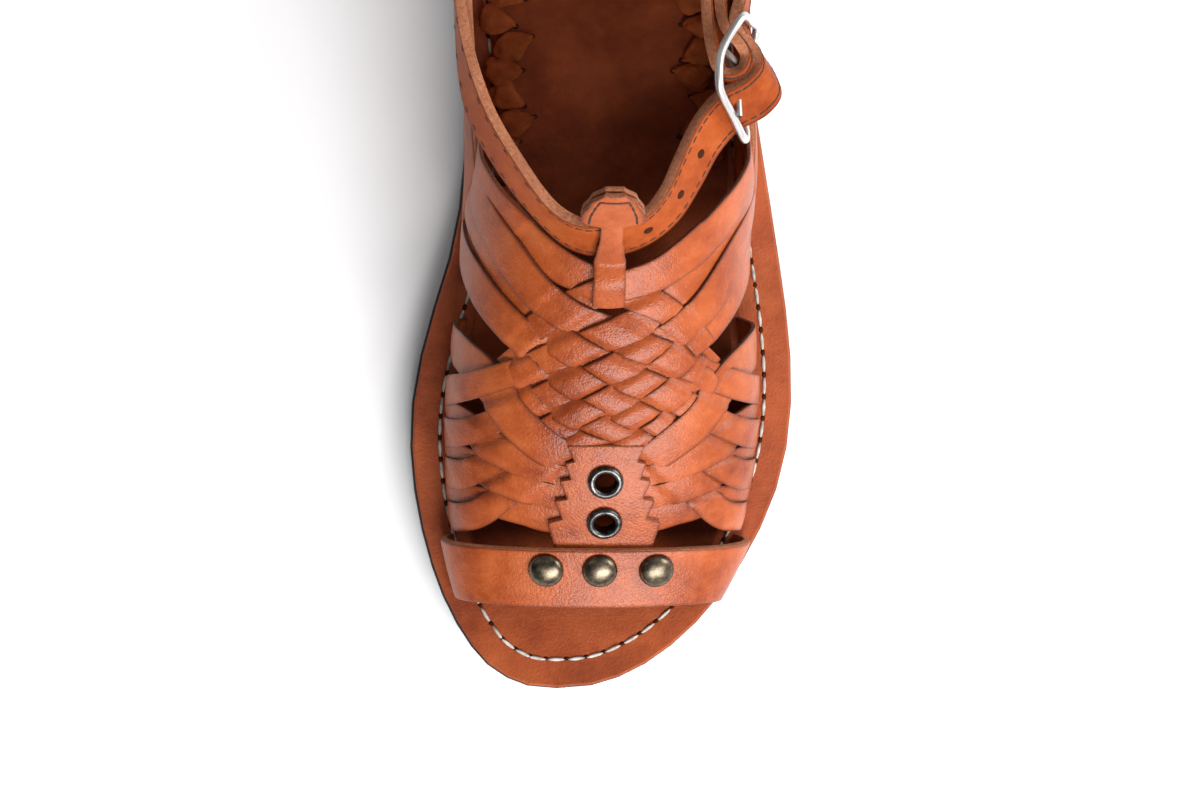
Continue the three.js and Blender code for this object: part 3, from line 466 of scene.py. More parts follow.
def skin_normal(s, u):
    along = skin(s + 0.5, u) - skin(s - 0.5, u)
    around = skin(s, u + 0.005) - skin(s, u - 0.005)
    return around.cross(along).normalized()


def lifted(s, u, lift):
    """A point some mm off the foot."""
    return skin(s, u) + skin_normal(s, u) * lift


def round_at(s, x):
    """The share round the foot of a place x mm across."""
    middle, half, swell = foot(s)
    return math.asin(min(max((x - middle) / half, -1), 1)) / FULL


TRAIL = 90
NEAR = 12
DIVE = (0.26, 0.52)


class Strip:
    """One strip of the weave on one side, with the places where it crosses others."""

    def __init__(self, name, side):
        wide, way = STRIPS[name]
        self.name, self.side, self.wide = name, side, wide * WIDTH
        self.family = side if name == "b" else -side
        self.line = Line([(s * LENGTH, -side * u * GIRTH, 0) for s, u in way])
        self.trail = [self.line.at(k / TRAIL) for k in range(TRAIL + 1)]
        self.meets = []

    def between(self, t, k, bend):
        """Value k of the stops at a share of the length, bent from one stop to the next."""
        i = next((j for j, stop in enumerate(self.stops) if stop[0] >= t), len(self.stops))
        if i == 0 or i == len(self.stops):
            return self.stops[max(i - 1, 0)][k]
        a, b = self.stops[i - 1], self.stops[i]
        return a[k] + (b[k] - a[k]) * bend((t - a[0]) / (b[0] - a[0]), a[k] > b[k])

    def dive(self, part, down):
        early, late = DIVE if down else (1 - DIVE[1], 1 - DIVE[0])
        return ease((part - early) / (late - early))

    def level(self, t, aside):
        """1 on top, -1 underneath, at a share of the length and mm to one side.

        The strips that cross lean, so the side sees them earlier or later.
        """
        lean = self.between(t, 2, lambda part, down: part)
        return self.between(t + aside * lean / self.line.length, 1, self.dive)


def over(a, b):
    """1 where strip a lies over b, -1 where under, 0 where they don't weave."""
    if a.name in BANDS and b.name in BANDS:
        if a.family == b.family:
            return 0
        even = 1 if (BANDS.index(a.name) + BANDS.index(b.name)) % 2 == 0 else -1
        return -even if a.family < 0 else even
    if a.name in SLIPS and b.name in SLIPS:
        return 0
    band, slip, sign = (a, b, 1) if a.name in BANDS else (b, a, -1)
    own = BANDS.index(band.name) - 1
    if band.side != slip.side or not 0 <= own <= 3:
        return 0
    return sign if own == SLIPS.index(slip.name) else -sign


def crossing(a, b):
    """Where two strips cross, as a share of the length of each."""
    for i, (p, q) in enumerate(zip(a.trail, a.trail[1:])):
        for j, (r, t) in enumerate(zip(b.trail, b.trail[1:])):
            if abs(p.x - r.x) + abs(p.y - r.y) > NEAR:
                continue
            d = (q.x - p.x) * (t.y - r.y) - (q.y - p.y) * (t.x - r.x)
            if abs(d) < 1e-9:
                continue
            k = ((r.x - p.x) * (t.y - r.y) - (r.y - p.y) * (t.x - r.x)) / d
            l = ((r.x - p.x) * (q.y - p.y) - (r.y - p.y) * (q.x - p.x)) / d
            if 0 <= k <= 1 and 0 <= l <= 1:
                return (i + k) / TRAIL, (j + l) / TRAIL
    return None


ENDS = {"b": (-1, -1), "w": (-1, 0), "e": (0, -1.3)}
strips = [Strip(name, side) for side in (-1, 1) for name in BANDS + SLIPS]
for i, a in enumerate(strips):
    for b in strips[i + 1:]:
        sign = over(a, b)
        at = crossing(a, b) if sign else None
        if at:
            p, q = a.line.way(at[0]), b.line.way(at[1])
            lean = p.dot(q) / (p.x * q.y - p.y * q.x)
            a.meets.append((at[0], sign, lean))
            b.meets.append((at[1], -sign, -lean))
for strip in strips:
    first, last = ENDS.get(strip.name, (0, -1 if strip.name in SLIPS else 0))
    strip.stops = sorted(strip.meets)
    if strip.stops[0][0] > 0.04:
        strip.stops.insert(0, (0.0, first, strip.stops[0][2]))
    if strip.stops[-1][0] < 0.96:
        strip.stops.append((1.0, last, strip.stops[-1][2]))

upper_leather = leather("upper_leather", TAN, DEEP_TAN, PALE_TAN, rough=0.34, marks=1.15, crease=0.9)


def raw_edge(name, dark, light):
    """The cut side of the leather, where its fibres show."""
    material, tree, shader = finish(name, Roughness=0.85)
    where = surface(tree)
    fuzz = grain(tree, where, 0.8 * MM, 6, 0.7)
    patch = grain(tree, where, 9 * MM, 3)
    fibres = mixed(tree, patch, ramp(tree, fuzz, (0.3, dark), (0.72, light)), dark)
    feed(tree, shader, Base_Color=fibres, Normal=bumped(tree, fuzz, 0.9, 0.35 * MM))
    return material


cut_edge = raw_edge("cut_edge", dark=(0.22, 0.062, 0.024, 1), light=(0.70, 0.29, 0.135, 1))
# The strips' cut sides are much darker than the other pieces': partly dyed and burnished edges,
# partly painted shade in the gaps between the strips.
strip_edge_and_gap_shade = raw_edge("strip_edge_and_gap_shade", dark=(0.05, 0.010, 0.003, 1), light=(0.30, 0.085, 0.028, 1))
# How far in from a cut edge, in mm, the top is darkened, as burnish and as painted shade in the gaps
# between strips.
BURNISH_AND_SHADE = 1.2


def leather_piece(
        name, place, wide, long, thick=STRIP, edge=0.45, pierced=(), across=7, pitch=2.0,
        outside=upper_leather, cut_side=cut_edge, **keep):
    """A cut piece of leather: a flat grid laid where place(across, along) says, with its
    thickness and soft edges. across runs from -1 to 1 and along from 0 to 1."""
    bm = bmesh.new()
    rows = max(round(long / pitch), 4)
    bmesh.ops.create_grid(bm, x_segments=across, y_segments=rows, size=0.5)
    uv = bm.loops.layers.uv.new("UVMap")
    for face in bm.faces:
        for loop in face.loops:
            loop[uv].uv = (loop.vert.co.x * wide * MM, loop.vert.co.y * long * MM)
    # This attribute is 1 at each cut edge and fades to 0 a little way in; leather() darkens the top
    # there, partly as burnish and partly as painted shade in the gaps between strips.
    burnish_and_shade = bm.verts.layers.float.new("burnish_and_shade")
    for v in bm.verts:
        v[burnish_and_shade] = max(0, 1 - wide / 2 * (1 - abs(v.co.x * 2)) / BURNISH_AND_SHADE)
        v.co = placed(place(v.co.x * 2, v.co.y + 0.5))
    for at, radius in pierced:
        inside = [f for f in bm.faces if (f.calc_center_median() - at).length < radius]
        bmesh.ops.delete(bm, geom=inside, context="FACES")
    bm.normal_update()
    piece = kept(bm, name, outside, cut_side, slot="upper_leather", **keep)
    wall = piece.modifiers.new("thickness", "SOLIDIFY")
    wall.thickness = thick * MM
    wall.offset = 0
    wall.use_even_offset = True
    wall.material_offset_rim = 1
    soft = piece.modifiers.new("soft edge", "BEVEL")
    soft.width = edge * MM
    soft.segments = 2
    soft.limit_method = "ANGLE"
    soft.angle_limit = math.radians(50)
    soft.harden_normals = False
    return piece


SWING = 0.6
WOVEN = 1.05
CROWN = 0.2
RAGGED = 0.35
TUCKED = ("w", "y", "a", "c")
FAR_FROM = 0.6
FAR_UP = 0.35
TUCK_FROM = 0.84
TUCK_LONG = 0.14
TUCK_DEEP = 1.3
OVER_ENDS = 0.5
OVER_ENDS_FROM = 0.42
OVER_ENDS_TO = 0.84
OVER_ENDS_EASE = 0.1


def wobble(at, size, seed):
    """A little unevenness, as cut and pulled by hand, in mm."""
    return noise.noise(Vector((at.x * 0.11 + seed, at.y * 0.11, seed * 1.7))) * size


for strip in strips:
    seed = 3.1 * strips.index(strip)

    def lay(across, t, strip=strip, seed=seed):
        at = strip.line.at(t)
        step = strip.line.way(t)
        s, u = at.x, at.y / GIRTH
        normal = skin_normal(s, u)
        ahead = (skin(s + step.x * 0.2, u + step.y / GIRTH * 0.2) - skin(s, u)).normalized()
        side = normal.cross(ahead).normalized()
        per_along = skin(s + 0.5, u) - skin(s - 0.5, u)
        per_round = (skin(s, u + 0.005) - skin(s, u - 0.005)) * 100
        ragged = wobble(Vector((t * 90, across * 9, 0)), RAGGED, seed)
        move = side * (across * (strip.wide / 2 + ragged))
        ds = move.dot(per_along) / per_along.length_squared
        du = move.dot(per_round) / per_round.length_squared
        lift = LEVEL + SWING * strip.level(t, across * strip.wide / 2)
        lift += CROWN * (1 - across * across) - CROWN / 2
        if strip.name in TUCKED and t > FAR_FROM:
            lift += FAR_UP - TUCK_DEEP * ease((t - TUCK_FROM) / TUCK_LONG)
        if strip.name == "F0":
            lift += OVER_ENDS * ease((t - OVER_ENDS_FROM) / OVER_ENDS_EASE)
            lift -= OVER_ENDS * ease((t - OVER_ENDS_TO) / OVER_ENDS_EASE)
        return lifted(s + ds, min(max(u + du, -FOOT_AT), FOOT_AT), lift)

    side = "inner" if strip.side < 0 else "outer"
    leather_piece(
        f"strip_{strip.name}_{side}", lay, strip.wide, strip.line.length, thick=WOVEN, edge=0.22,
        across=10, pitch=1.0, cut_side=strip_edge_and_gap_shade,
        stands_for=("upper",) if strip is strips[0] else ())

# The tongue is one notched piece with two eyelets, laid over the slipped
# ends of the short strips. Its front goes under the toe band.
RISE = 0.8
TONGUE = [
    (0.137, 0.17), (0.155, 0.118), (0.184, 0.138), (0.1845, 0.1), (0.205, 0.122), (0.2055, 0.09),
    (0.224, 0.11), (0.2245, 0.082), (0.242, 0.098), (0.2425, 0.074), (0.259, 0.092),
]
EYELETS = (0.184, 0.224)
EYELET_ACROSS = -0.012
EYELET_CUT = 3.5
TONGUE_WIDE = 20
TONGUE_LONG = 31


def tongue_width(t):
    """Half the tongue's width, notch by notch."""
    i = next((j for j, row in enumerate(TONGUE) if row[0] >= t), len(TONGUE) - 1)
    (a, wa), (b, wb) = TONGUE[max(i - 1, 0)], TONGUE[i]
    return wa if b == a else wa + (wb - wa) * min(max((t - a) / (b - a), 0), 1)


def lay_tongue(across, t):
    share = TONGUE[0][0] + (TONGUE[-1][0] - TONGUE[0][0]) * t
    s = share * LENGTH
    x = (EYELET_ACROSS + across * tongue_width(share)) * WIDTH
    return lifted(s, round_at(s, x), LEVEL + RISE)


eyelet_seats = []
for share in EYELETS:
    s = share * LENGTH
    u = round_at(s, EYELET_ACROSS * WIDTH)
    eyelet_seats.append((placed(lifted(s, u, LEVEL + RISE)), skin_normal(s, u)))
leather_piece(
    "tongue", lay_tongue, TONGUE_WIDE, TONGUE_LONG, across=30, pitch=0.5,
    pierced=[(at, EYELET_CUT * MM) for at, axis in eyelet_seats])

# The quarters and heel are one wall of the same leather, from side to side
# round the back. Its top line is cut low under the ankle.
TOP_LINE = [(0.53, 0.61), (0.56, 0.64), (0.595, 0.655), (0.694, 0.66), (0.813, 0.65), (1, 0.56)]
LEAN = 0.115 * LENGTH
HEEL_DEEP = 0.158 * LENGTH
HEEL_ROUND = 95.0
HEEL_FROM = TOP_LINE[4][0]
QUARTERS_WIDE = 55
QUARTERS_LONG = 280
front_at = TOP_LINE[0][0] * LENGTH
heel_start = HEEL_FROM * LENGTH
side_long = heel_start - front_at


def heel_shell(turn, u):
    """A point of the heel: turned from the inner side to the outer, share down from the top."""
    middle, half, swell = foot(heel_start)
    reach = math.sin(u * FULL)
    return Vector((
        middle - half * reach * math.cos(turn), heel_start + HEEL_DEEP * reach * math.sin(turn),
        deck(heel_start) + swell * (math.cos(u * FULL) + math.sin(TURN))))


def lay_wall(across, t):
    """across from the sole's edge to the top line, t from the inner front round to the outer."""
    at = t * (2 * side_long + HEEL_ROUND)
    rise = (1 - across) / 2
    if side_long < at < side_long + HEEL_ROUND:
        turn = math.pi * (at - side_long) / HEEL_ROUND
        top = column(TOP_LINE, 1, HEEL_FROM + (1 - HEEL_FROM) * math.sin(turn))
        u = FOOT_AT + (top - FOOT_AT) * rise
        p = heel_shell(turn, u)
        ahead = heel_shell(turn + 0.01, u) - heel_shell(turn - 0.01, u)
        out = ahead.cross(heel_shell(turn, u - 0.01) - heel_shell(turn, u + 0.01)).normalized()
        outward = Vector((p.x - foot(heel_start)[0], p.y - heel_start, 0))
        return p + out * (LEVEL if out.dot(outward) > 0 else -LEVEL)
    sign = -1 if at <= side_long else 1
    s = front_at + (at if sign < 0 else 2 * side_long + HEEL_ROUND - at)
    top = column(TOP_LINE, 1, s / LENGTH)
    u = FOOT_AT + (top - FOOT_AT) * rise
    near_front = min(max(1 - (s - front_at) / (1.6 * LEAN), 0), 1)
    s -= near_front * LEAN * (u - top) / (1 - top)
    return lifted(s, sign * u, LEVEL)


quarter_leather = leather(
    "quarter_leather", TAN, DEEP_TAN, PALE_TAN, rough=0.42, marks=1.15, crease=0.9, gloss=0.1)
leather_piece(
    "quarters", lay_wall, QUARTERS_WIDE, QUARTERS_LONG, across=18, pitch=2.5,
    outside=quarter_leather)

# The toe band is a plain broad strap over the tongue's front, let into the
# sole at both ends and held to the tongue by three rivets.
GAP = 0.3
BAND = 2.1
BAND_FRONT = (0.0965, 0.012)
BAND_REAR = (0.158, 0.007)
BAND_REACH = 0.985
BAND_UP = 0.2
BAND_DROP = 1.2
BAND_WIDE = 17
BAND_LONG = 105


def over_tongue(u, share):
    """How far off the foot the toe band is, at a share of its thickness."""
    seat = LEVEL + RISE + STRIP / 2 + GAP + BAND_UP
    return seat + BAND * share - BAND_DROP * u ** 4


def lay_band(across, t):
    u = (t * 2 - 1) * BAND_REACH
    v = (across + 1) / 2
    front = BAND_FRONT[0] + BAND_FRONT[1] * u * u
    rear = BAND_REAR[0] + BAND_REAR[1] * u * u
    return lifted((front * (1 - v) + rear * v) * LENGTH, u, over_tongue(u, 0.5))


leather_piece(
    "toe_strap", lay_band, BAND_WIDE, BAND_LONG, thick=BAND, across=14, pitch=1.6,
    stands_for=("toe_band",))

# The instep strap is two layers sewn near both edges. From its free end it
# runs through the buckle, over the instep, round the heel, and is folded
# round the buckle's bar. Each row places its upper and its lower edge.
STRAP = 2.6
STRAP_WIDE = 12.8
STRAP_WAY = [
    (0.826, 0.315, 0.77, 0.825, 0.321, 0.628),
    (0.79, 0.319, 0.786, 0.795, 0.332, 0.645),
    (0.738, 0.313, 0.816, 0.744, 0.33, 0.676),
    (0.69, 0.293, 0.855, 0.695, 0.321, 0.716),
    (0.666, 0.278, 0.873, 0.663, 0.314, 0.736),
    (0.652, 0.294, 0.861, 0.632, 0.352, 0.747),
    (0.641, 0.322, 0.858, 0.614, 0.379, 0.758),
    (0.624, 0.332, 0.863, 0.597, 0.392, 0.762),
    (0.609, 0.301, 0.863, 0.581, 0.364, 0.769),
    (0.595, 0.24, 0.867, 0.564, 0.291, 0.771),
    (0.571, 0.189, 0.867, 0.542, 0.242, 0.766),
    (0.535, 0.145, 0.865, 0.51, 0.198, 0.755),
    (0.501, 0.107, 0.855, 0.476, 0.142, 0.737),
    (0.48, 0.061, 0.841, 0.454, 0.069, 0.719),
    (0.474, -0.009, 0.829, 0.444, -0.02, 0.713),
    (0.471, -0.082, 0.839, 0.451, -0.106, 0.711),
    (0.485, -0.152, 0.855, 0.481, -0.192, 0.721),
    (0.535, -0.246, 0.866, 0.529, -0.285, 0.732),
    (0.591, -0.321, 0.845, 0.584, -0.355, 0.709),
    (0.682, -0.377, 0.798, 0.679, -0.379, 0.656),
    (0.786, -0.364, 0.764, 0.785, -0.37, 0.622),
    (0.881, -0.312, 0.733, 0.885, -0.345, 0.6),
    (0.942, -0.188, 0.733, 0.956, -0.214, 0.6),
    (0.964, 0, 0.733, 0.982, 0, 0.6),
    (0.942, 0.178, 0.739, 0.954, 0.212, 0.606),
    (0.881, 0.271, 0.756, 0.883, 0.311, 0.622),
    (0.794, 0.263, 0.794, 0.796, 0.305, 0.66),
    (0.73, 0.246, 0.833, 0.733, 0.291, 0.693),
    (0.684, 0.242, 0.862, 0.684, 0.291, 0.731),
    (0.659, 0.256, 0.87, 0.651, 0.311, 0.744),
    (0.644, 0.288, 0.872, 0.625, 0.356, 0.766),
    (0.633, 0.303, 0.864, 0.605, 0.372, 0.774),
    (0.621, 0.293, 0.862, 0.591, 0.36, 0.776),
    (0.617, 0.266, 0.86, 0.586, 0.333, 0.778),
    (0.621, 0.238, 0.864, 0.592, 0.303, 0.774),
    (0.635, 0.224, 0.874, 0.615, 0.283, 0.761),
    (0.659, 0.214, 0.87, 0.649, 0.271, 0.746),
    (0.683, 0.21, 0.862, 0.681, 0.259, 0.731),
    (0.722, 0.212, 0.839, 0.722, 0.255, 0.705),
]
top_line = Line([(b * WIDTH, a * LENGTH, c * HEIGHT) for a, b, c, d, e, f in STRAP_WAY])
low_line = Line([(e * WIDTH, d * LENGTH, f * HEIGHT) for a, b, c, d, e, f in STRAP_WAY])
strap_rows = len(STRAP_WAY) - 1
steps_a_row = (len(top_line.at_points) - 1) / strap_rows


def strap_edge(line, row):
    """A point of one edge of the strap at a row of its table."""
    at = min(max(row, 0), strap_rows) * steps_a_row
    i = min(int(at), len(line.at_points) - 2)
    return line.at_points[i].lerp(line.at_points[i + 1], at - i)


def lay_strap(across, t):
    row = t * strap_rows
    top, low = strap_edge(top_line, row), strap_edge(low_line, row)
    return (top + low) / 2 + (top - low) / 2 * across


half_rows = [k / 2 for k in range(2 * strap_rows + 1)]
walk = Line([(strap_edge(top_line, row) + strap_edge(low_line, row)) / 2 for row in half_rows])
strap_leather = leather(
    "strap_leather", base=(0.31, 0.060, 0.012, 1), deep=(0.16, 0.023, 0.005, 1),
    pale=(0.44, 0.108, 0.030, 1), rough=0.48, crease=0.6, gloss=0.05)
leather_piece(
    "ankle_strap", lay_strap, STRAP_WIDE, walk.length, thick=STRAP, across=8, pitch=1.6,
    outside=strap_leather, stands_for=("instep_strap",))

# Both rows of the strap's sewing are dark thread. Its spare holes are round dark discs on both faces
# of the strap: painted shade standing for the punched holes.
SEAM_PITCH = 3.3
SEAM_STITCH = (1.15, 0.32, 0.2)
SEAM_AT = 0.76
STRAP_HOLES = (1.2, 2.4, 10.5, 11.6, 12.9)
STRAP_HOLE = (1.25, 1.25, 0.12)
thread_dark, tree, shader = finish("dark_thread", Base_Color=(0.045, 0.013, 0.006, 1), Roughness=0.7)


def lying(at, ahead, out):
    """A seat at a place, turned to run ahead and to face out."""
    turn = Matrix((ahead, out.cross(ahead), out)).transposed().to_4x4()
    return Matrix.Translation(at) @ turn


def strap_face(t, across, side):
    """A seat on one face of the strap, at a share of its length."""
    before, after = lay_strap(across, max(t - 0.002, 0)), lay_strap(across, min(t + 0.002, 1))
    ahead = (after - before).normalized()
    rise = (lay_strap(1, t) - lay_strap(-1, t)).normalized()
    out = rise.cross(ahead).normalized() * side
    return lying(placed(lay_strap(across, t) + out * STRAP / 2), ahead, out)


sewing = bmesh.new()
count = round(walk.length / SEAM_PITCH)
for side in (-1, 1):
    for across in (-SEAM_AT, SEAM_AT):
        for k in range(2, count - 1):
            made = bmesh.ops.create_icosphere(sewing, subdivisions=1, radius=1)
            set_down(sewing, made, strap_face(k / count, across, side), SEAM_STITCH)
    for row in STRAP_HOLES:
        made = bmesh.ops.create_uvsphere(sewing, u_segments=16, v_segments=8, radius=1)
        set_down(sewing, made, strap_face(row / strap_rows, 0, side), STRAP_HOLE, material=1)
kept(sewing, "strap_sewing", thread_dark, hole_shade)

# The tab comes up from under the weave, narrows where it passes in front of
# the strap, and widens to a cut head behind it, where its lining joins and is
# sewn to it. TAB holds strap widths past the strap's lower edge, and half widths.
TAB = [
    (-0.75, 0.039), (-0.35, 0.038), (0, 0.038), (0.35, 0.032), (0.7, 0.026), (1.1, 0.026),
    (1.26, 0.078), (1.45, 0.075), (1.78, 0.056), (2.02, 0.024),
]
TAB_ROW = 14
TAB_FINE = 16
TAB_OFF = 0.3
TAB_CROWN = 0.5
TAB_WIDE = 9
UNDER_WEAVE = 1.25
hold_top, hold_low = strap_edge(top_line, TAB_ROW), strap_edge(low_line, TAB_ROW)
tab_across = (hold_top.x + hold_low.x) / 2
tab_up = Vector((0, hold_top.y - hold_low.y, hold_top.z - hold_low.z))
strap_high = tab_up.length
tab_up.normalize()
tab_out = Vector((0, -tab_up.z, tab_up.y))


def tab_layer(outer):
    """The middle line of the tab's outer or inner layer."""
    points = []
    apart = STRAP / 2 + GAP + STRIP / 2 + TAB_OFF
    for past, half in TAB:
        if past < 0:
            rise = (RISE + STRIP * 0.6) * ease((past - TAB[0][0]) / 0.4)
            point = lifted(hold_low.y + past * strap_high * UNDER_WEAVE, 0, LEVEL + rise)
            point.x = tab_across
        else:
            closing = ease((past - 1.0) / 0.3)
            lift = apart if outer else -apart + (2 * apart - STRIP) * closing
            point = Vector((tab_across, hold_low.y, hold_low.z))
            point += tab_up * past * strap_high + tab_out * lift
        points.append(point)
    return Line(points if outer else points[2:], fine=TAB_FINE)


def tab_piece(name, outer, thick):
    """One layer of the tab. Returns how it lies."""
    line = tab_layer(outer)
    table = TAB if outer else TAB[2:]

    def lay(across, t):
        row = t * (len(table) - 1)
        i = min(int(row), len(table) - 2)
        half = table[i][1] + (table[i + 1][1] - table[i][1]) * ease(row - i)
        at = min(row, len(table) - 1.0001) * TAB_FINE
        j = int(at)
        p = line.at_points[j].lerp(line.at_points[min(j + 1, len(line.at_points) - 1)], at - j)
        crown = TAB_CROWN * (1 - across * across) if outer else 0
        return p + Vector((across * half * WIDTH, 0, 0)) + tab_out * crown
    leather_piece(name, lay, TAB_WIDE, line.length, thick=thick, across=12, pitch=0.8)
    return lay


tab_front = tab_piece("tab_front", True, 1.7)
tab_piece("tab_back", False, 1.5)

HEAD_FROM = 0.67
HEAD_TO = 0.93
HEAD_SIDE = 0.74
HEAD_UP = 0.9
HEAD_STITCHES = 5
HEAD_STITCH = (1.1, 0.32, 0.2)
shares = [k / HEAD_STITCHES for k in range(HEAD_STITCHES + 1)]
up_side = [(-HEAD_SIDE, HEAD_FROM + (HEAD_TO - HEAD_FROM) * share) for share in shares]
over_top = [(HEAD_SIDE * (2 * share - 1), HEAD_TO) for share in shares[1:-1]]
down_side = [(HEAD_SIDE, t) for across, t in reversed(up_side)]
head_seam = [
    placed(tab_front(across, t) + tab_out * HEAD_UP)
    for across, t in up_side + over_top + down_side]
head_sewing = bmesh.new()
for a, b in zip(head_seam, head_seam[1:]):
    made = bmesh.ops.create_icosphere(head_sewing, subdivisions=2, radius=1)
    set_down(head_sewing, made, lying((a + b) / 2, (b - a).normalized(), tab_out), HEAD_STITCH)
kept(head_sewing, "tab_sewing", thread_dark)

# A thong is laced in and out along each edge of the insole. Each turn of it
# is a flat soft lump at the foot of the quarters, drawn to a point where it
# goes down through a hole.
INSOLE = 1.8
THONG_PITCH = 6.6
THONG_SIZE = (5.0, 3.7, 1.4)
THONG_FROM = (128, 140)
THONG_TO = 232
THONG_UP = 0.9
THONG_IN = 6.5
THONG_SWAY = 2.2
THONG_TILT = 28
THONG_POINTED = 0.55
ROUND_HEEL_FROM = 200
ROUND_HEEL_IN = 14
THONG_HOLE = (1.0, 0.7, 0.25)
THONG_HOLE_AT = 1.05
THONG_HOLE_DOWN = 0.85
thong_leather = leather(
    "thong_leather", base=(0.22, 0.048, 0.011, 1), deep=(0.09, 0.015, 0.003, 1),
    pale=(0.33, 0.085, 0.024, 1), rough=0.75, marks=1.4, crease=1.8, gloss=0.08)
lacing = bmesh.new()
for side, start in zip((-1, 1), THONG_FROM):
    for k in range(int((THONG_TO - start) / THONG_PITCH)):
        s = start + k * THONG_PITCH
        middle, half, swell = foot(s)
        inward = THONG_IN + THONG_SWAY * math.sin(k * 2.4)
        narrow = 0.9 * max(s - ROUND_HEEL_FROM, 0) ** 2 / 60
        x = middle + side * (half * math.cos(TURN) - inward - min(narrow, ROUND_HEEL_IN))
        tilt = (THONG_TILT * math.sin(k * 1.9) + narrow * 2) * side
        seat = Matrix.Translation(placed((x, s, deck(s) + GAP + INSOLE + THONG_UP)))
        seat = seat @ Matrix.Rotation(math.radians(tilt), 4, "Z")
        made = bmesh.ops.create_icosphere(lacing, subdivisions=4, radius=1)
        for v in made["verts"]:
            v.co *= 1 + 0.3 * noise.noise(v.co * 1.6 + Vector((k * 3.7, side * 5, 0)))
            v.co.y *= 1 - THONG_POINTED * max(-side * v.co.x, 0)
        set_down(lacing, made, seat, THONG_SIZE)
        # A small dark lump at the point is painted shade standing for the hole the thong goes down
        # through.
        to_tip = Vector((-side * THONG_SIZE[0] * THONG_HOLE_AT, 0, -THONG_HOLE_DOWN)) * MM
        made = bmesh.ops.create_icosphere(lacing, subdivisions=2, radius=1)
        set_down(lacing, made, seat @ Matrix.Translation(to_tip), THONG_HOLE, material=1)
kept(lacing, "edge_lacing", thong_leather, hole_shade, slot="insole_leather")

# The buckle is bent from round wire with satin nickel plate: a frame, the bar
# that the strap is folded round, and the prong, which rests on the frame's
# front. The rows say where in the strap's table its parts stand.
WIRE = 1.0
FRONT_BAR_ROW = 9
REAR_BAR_ROW = 4
FOLD_ROWS = (30, 34)
BUCKLE_PAST = 3
BUCKLE_OFF = 0.15
BUCKLE_BOW = 0.6
SIDE_IN = -2.6
SIDE_OUT = 1.4
BAR_PAST = 1.4
PRONG = 0.75
nickel, tree, shader = finish("satin_nickel", Base_Color=(0.66, 0.655, 0.64, 1), Metallic=1.0)
feed(tree, shader, Roughness=grain(tree, surface(tree), 4 * MM, 2) * 0.12 + 0.3)


def bar_end(row, end):
    """Where the buckle's wire turns beside the strap at a row, and the way up the strap."""
    top, low = strap_edge(top_line, row), strap_edge(low_line, row)
    rise = (top - low).normalized()
    ahead = strap_edge(top_line, row + 0.05) + strap_edge(low_line, row + 0.05) - top - low
    out = rise.cross(ahead.normalized()).normalized()
    out = out if out.x > 0 else -out
    off = STRAP / 2 + GAP + WIRE + BUCKLE_OFF
    return (top if end > 0 else low) + rise * end * BUCKLE_PAST + out * off, rise


def bent_wire(name, points, closed, radius, **keep):
    """Round wire bent along points: circles joined from place to place."""
    line = Line(points, closed, fine=8)
    path = line.at_points[:-1] if closed else line.at_points
    bm = bmesh.new()
    rings = []
    for i, at in enumerate(path):
        inside = closed or 0 < i < len(path) - 1
        ahead = path[(i + 1) % len(path)] - path[i - 1] if inside else path[-1] - path[0]
        turn = ahead.to_track_quat("Z", "X").to_matrix().to_4x4()
        made = bmesh.ops.create_circle(
            bm, segments=14, radius=radius * MM, matrix=Matrix.Translation(placed(at)) @ turn)
        rings.append(list({e for v in made["verts"] for e in v.link_edges}))
    pairs = list(zip(rings, rings[1:])) + ([(rings[-1], rings[0])] if closed else [])
    for a, b in pairs:
        bmesh.ops.bridge_loops(bm, edges=a + b)
    bmesh.ops.recalc_face_normals(bm, faces=bm.faces)
    return kept(bm, name, nickel, slot="nickel", **keep)


front_top, front_rise = bar_end(FRONT_BAR_ROW, 1)
front_low, front_rise = bar_end(FRONT_BAR_ROW, -1)
rear_top, rear_rise = bar_end(REAR_BAR_ROW, 1)
rear_low, rear_rise = bar_end(REAR_BAR_ROW, -1)
fold_top = (strap_edge(top_line, FOLD_ROWS[0]) + strap_edge(top_line, FOLD_ROWS[1])) / 2
fold_low = (strap_edge(low_line, FOLD_ROWS[0]) + strap_edge(low_line, FOLD_ROWS[1])) / 2
fold_rise = (fold_top - fold_low).normalized()
side_top = (front_top + rear_top) / 2 + Vector((SIDE_IN, 0, SIDE_OUT))
side_low = (front_low + rear_low) / 2 + Vector((SIDE_IN, 0, -SIDE_OUT))
bent_wire("buckle_frame", [
    front_top.lerp(front_low, 0.06),
    front_top.lerp(front_low, 0.5),
    front_top.lerp(front_low, 0.94),
    front_low.lerp(side_low, 0.12) - front_rise * BUCKLE_BOW,
    side_low,
    side_low.lerp(rear_low, 0.88) - rear_rise * BUCKLE_BOW,
    rear_low.lerp(rear_top, 0.06),
    rear_low.lerp(rear_top, 0.5),
    rear_low.lerp(rear_top, 0.94),
    rear_top.lerp(side_top, 0.12) + rear_rise * BUCKLE_BOW,
    side_top,
    side_top.lerp(front_top, 0.88) + front_rise * BUCKLE_BOW,
], True, WIRE * 1.05, stands_for=("buckle",))
prong_from, prong_to = (fold_top + fold_low) / 2, (front_top + front_low) / 2
prong_out = front_rise.cross(prong_to - prong_from).normalized()
prong_out = prong_out if prong_out.x > 0 else -prong_out
bent_wire("buckle_tongue", [
    prong_from,
    prong_from.lerp(prong_to, 0.6) + prong_out * 0.8,
    prong_to + prong_out * 1.7,
], False, PRONG, stands_for=("buckle_prong",))
bent_wire("buckle_bar", [
    side_low, fold_low - fold_rise * BAR_PAST, fold_top + fold_rise * BAR_PAST, side_top,
], False, WIRE * 0.9)

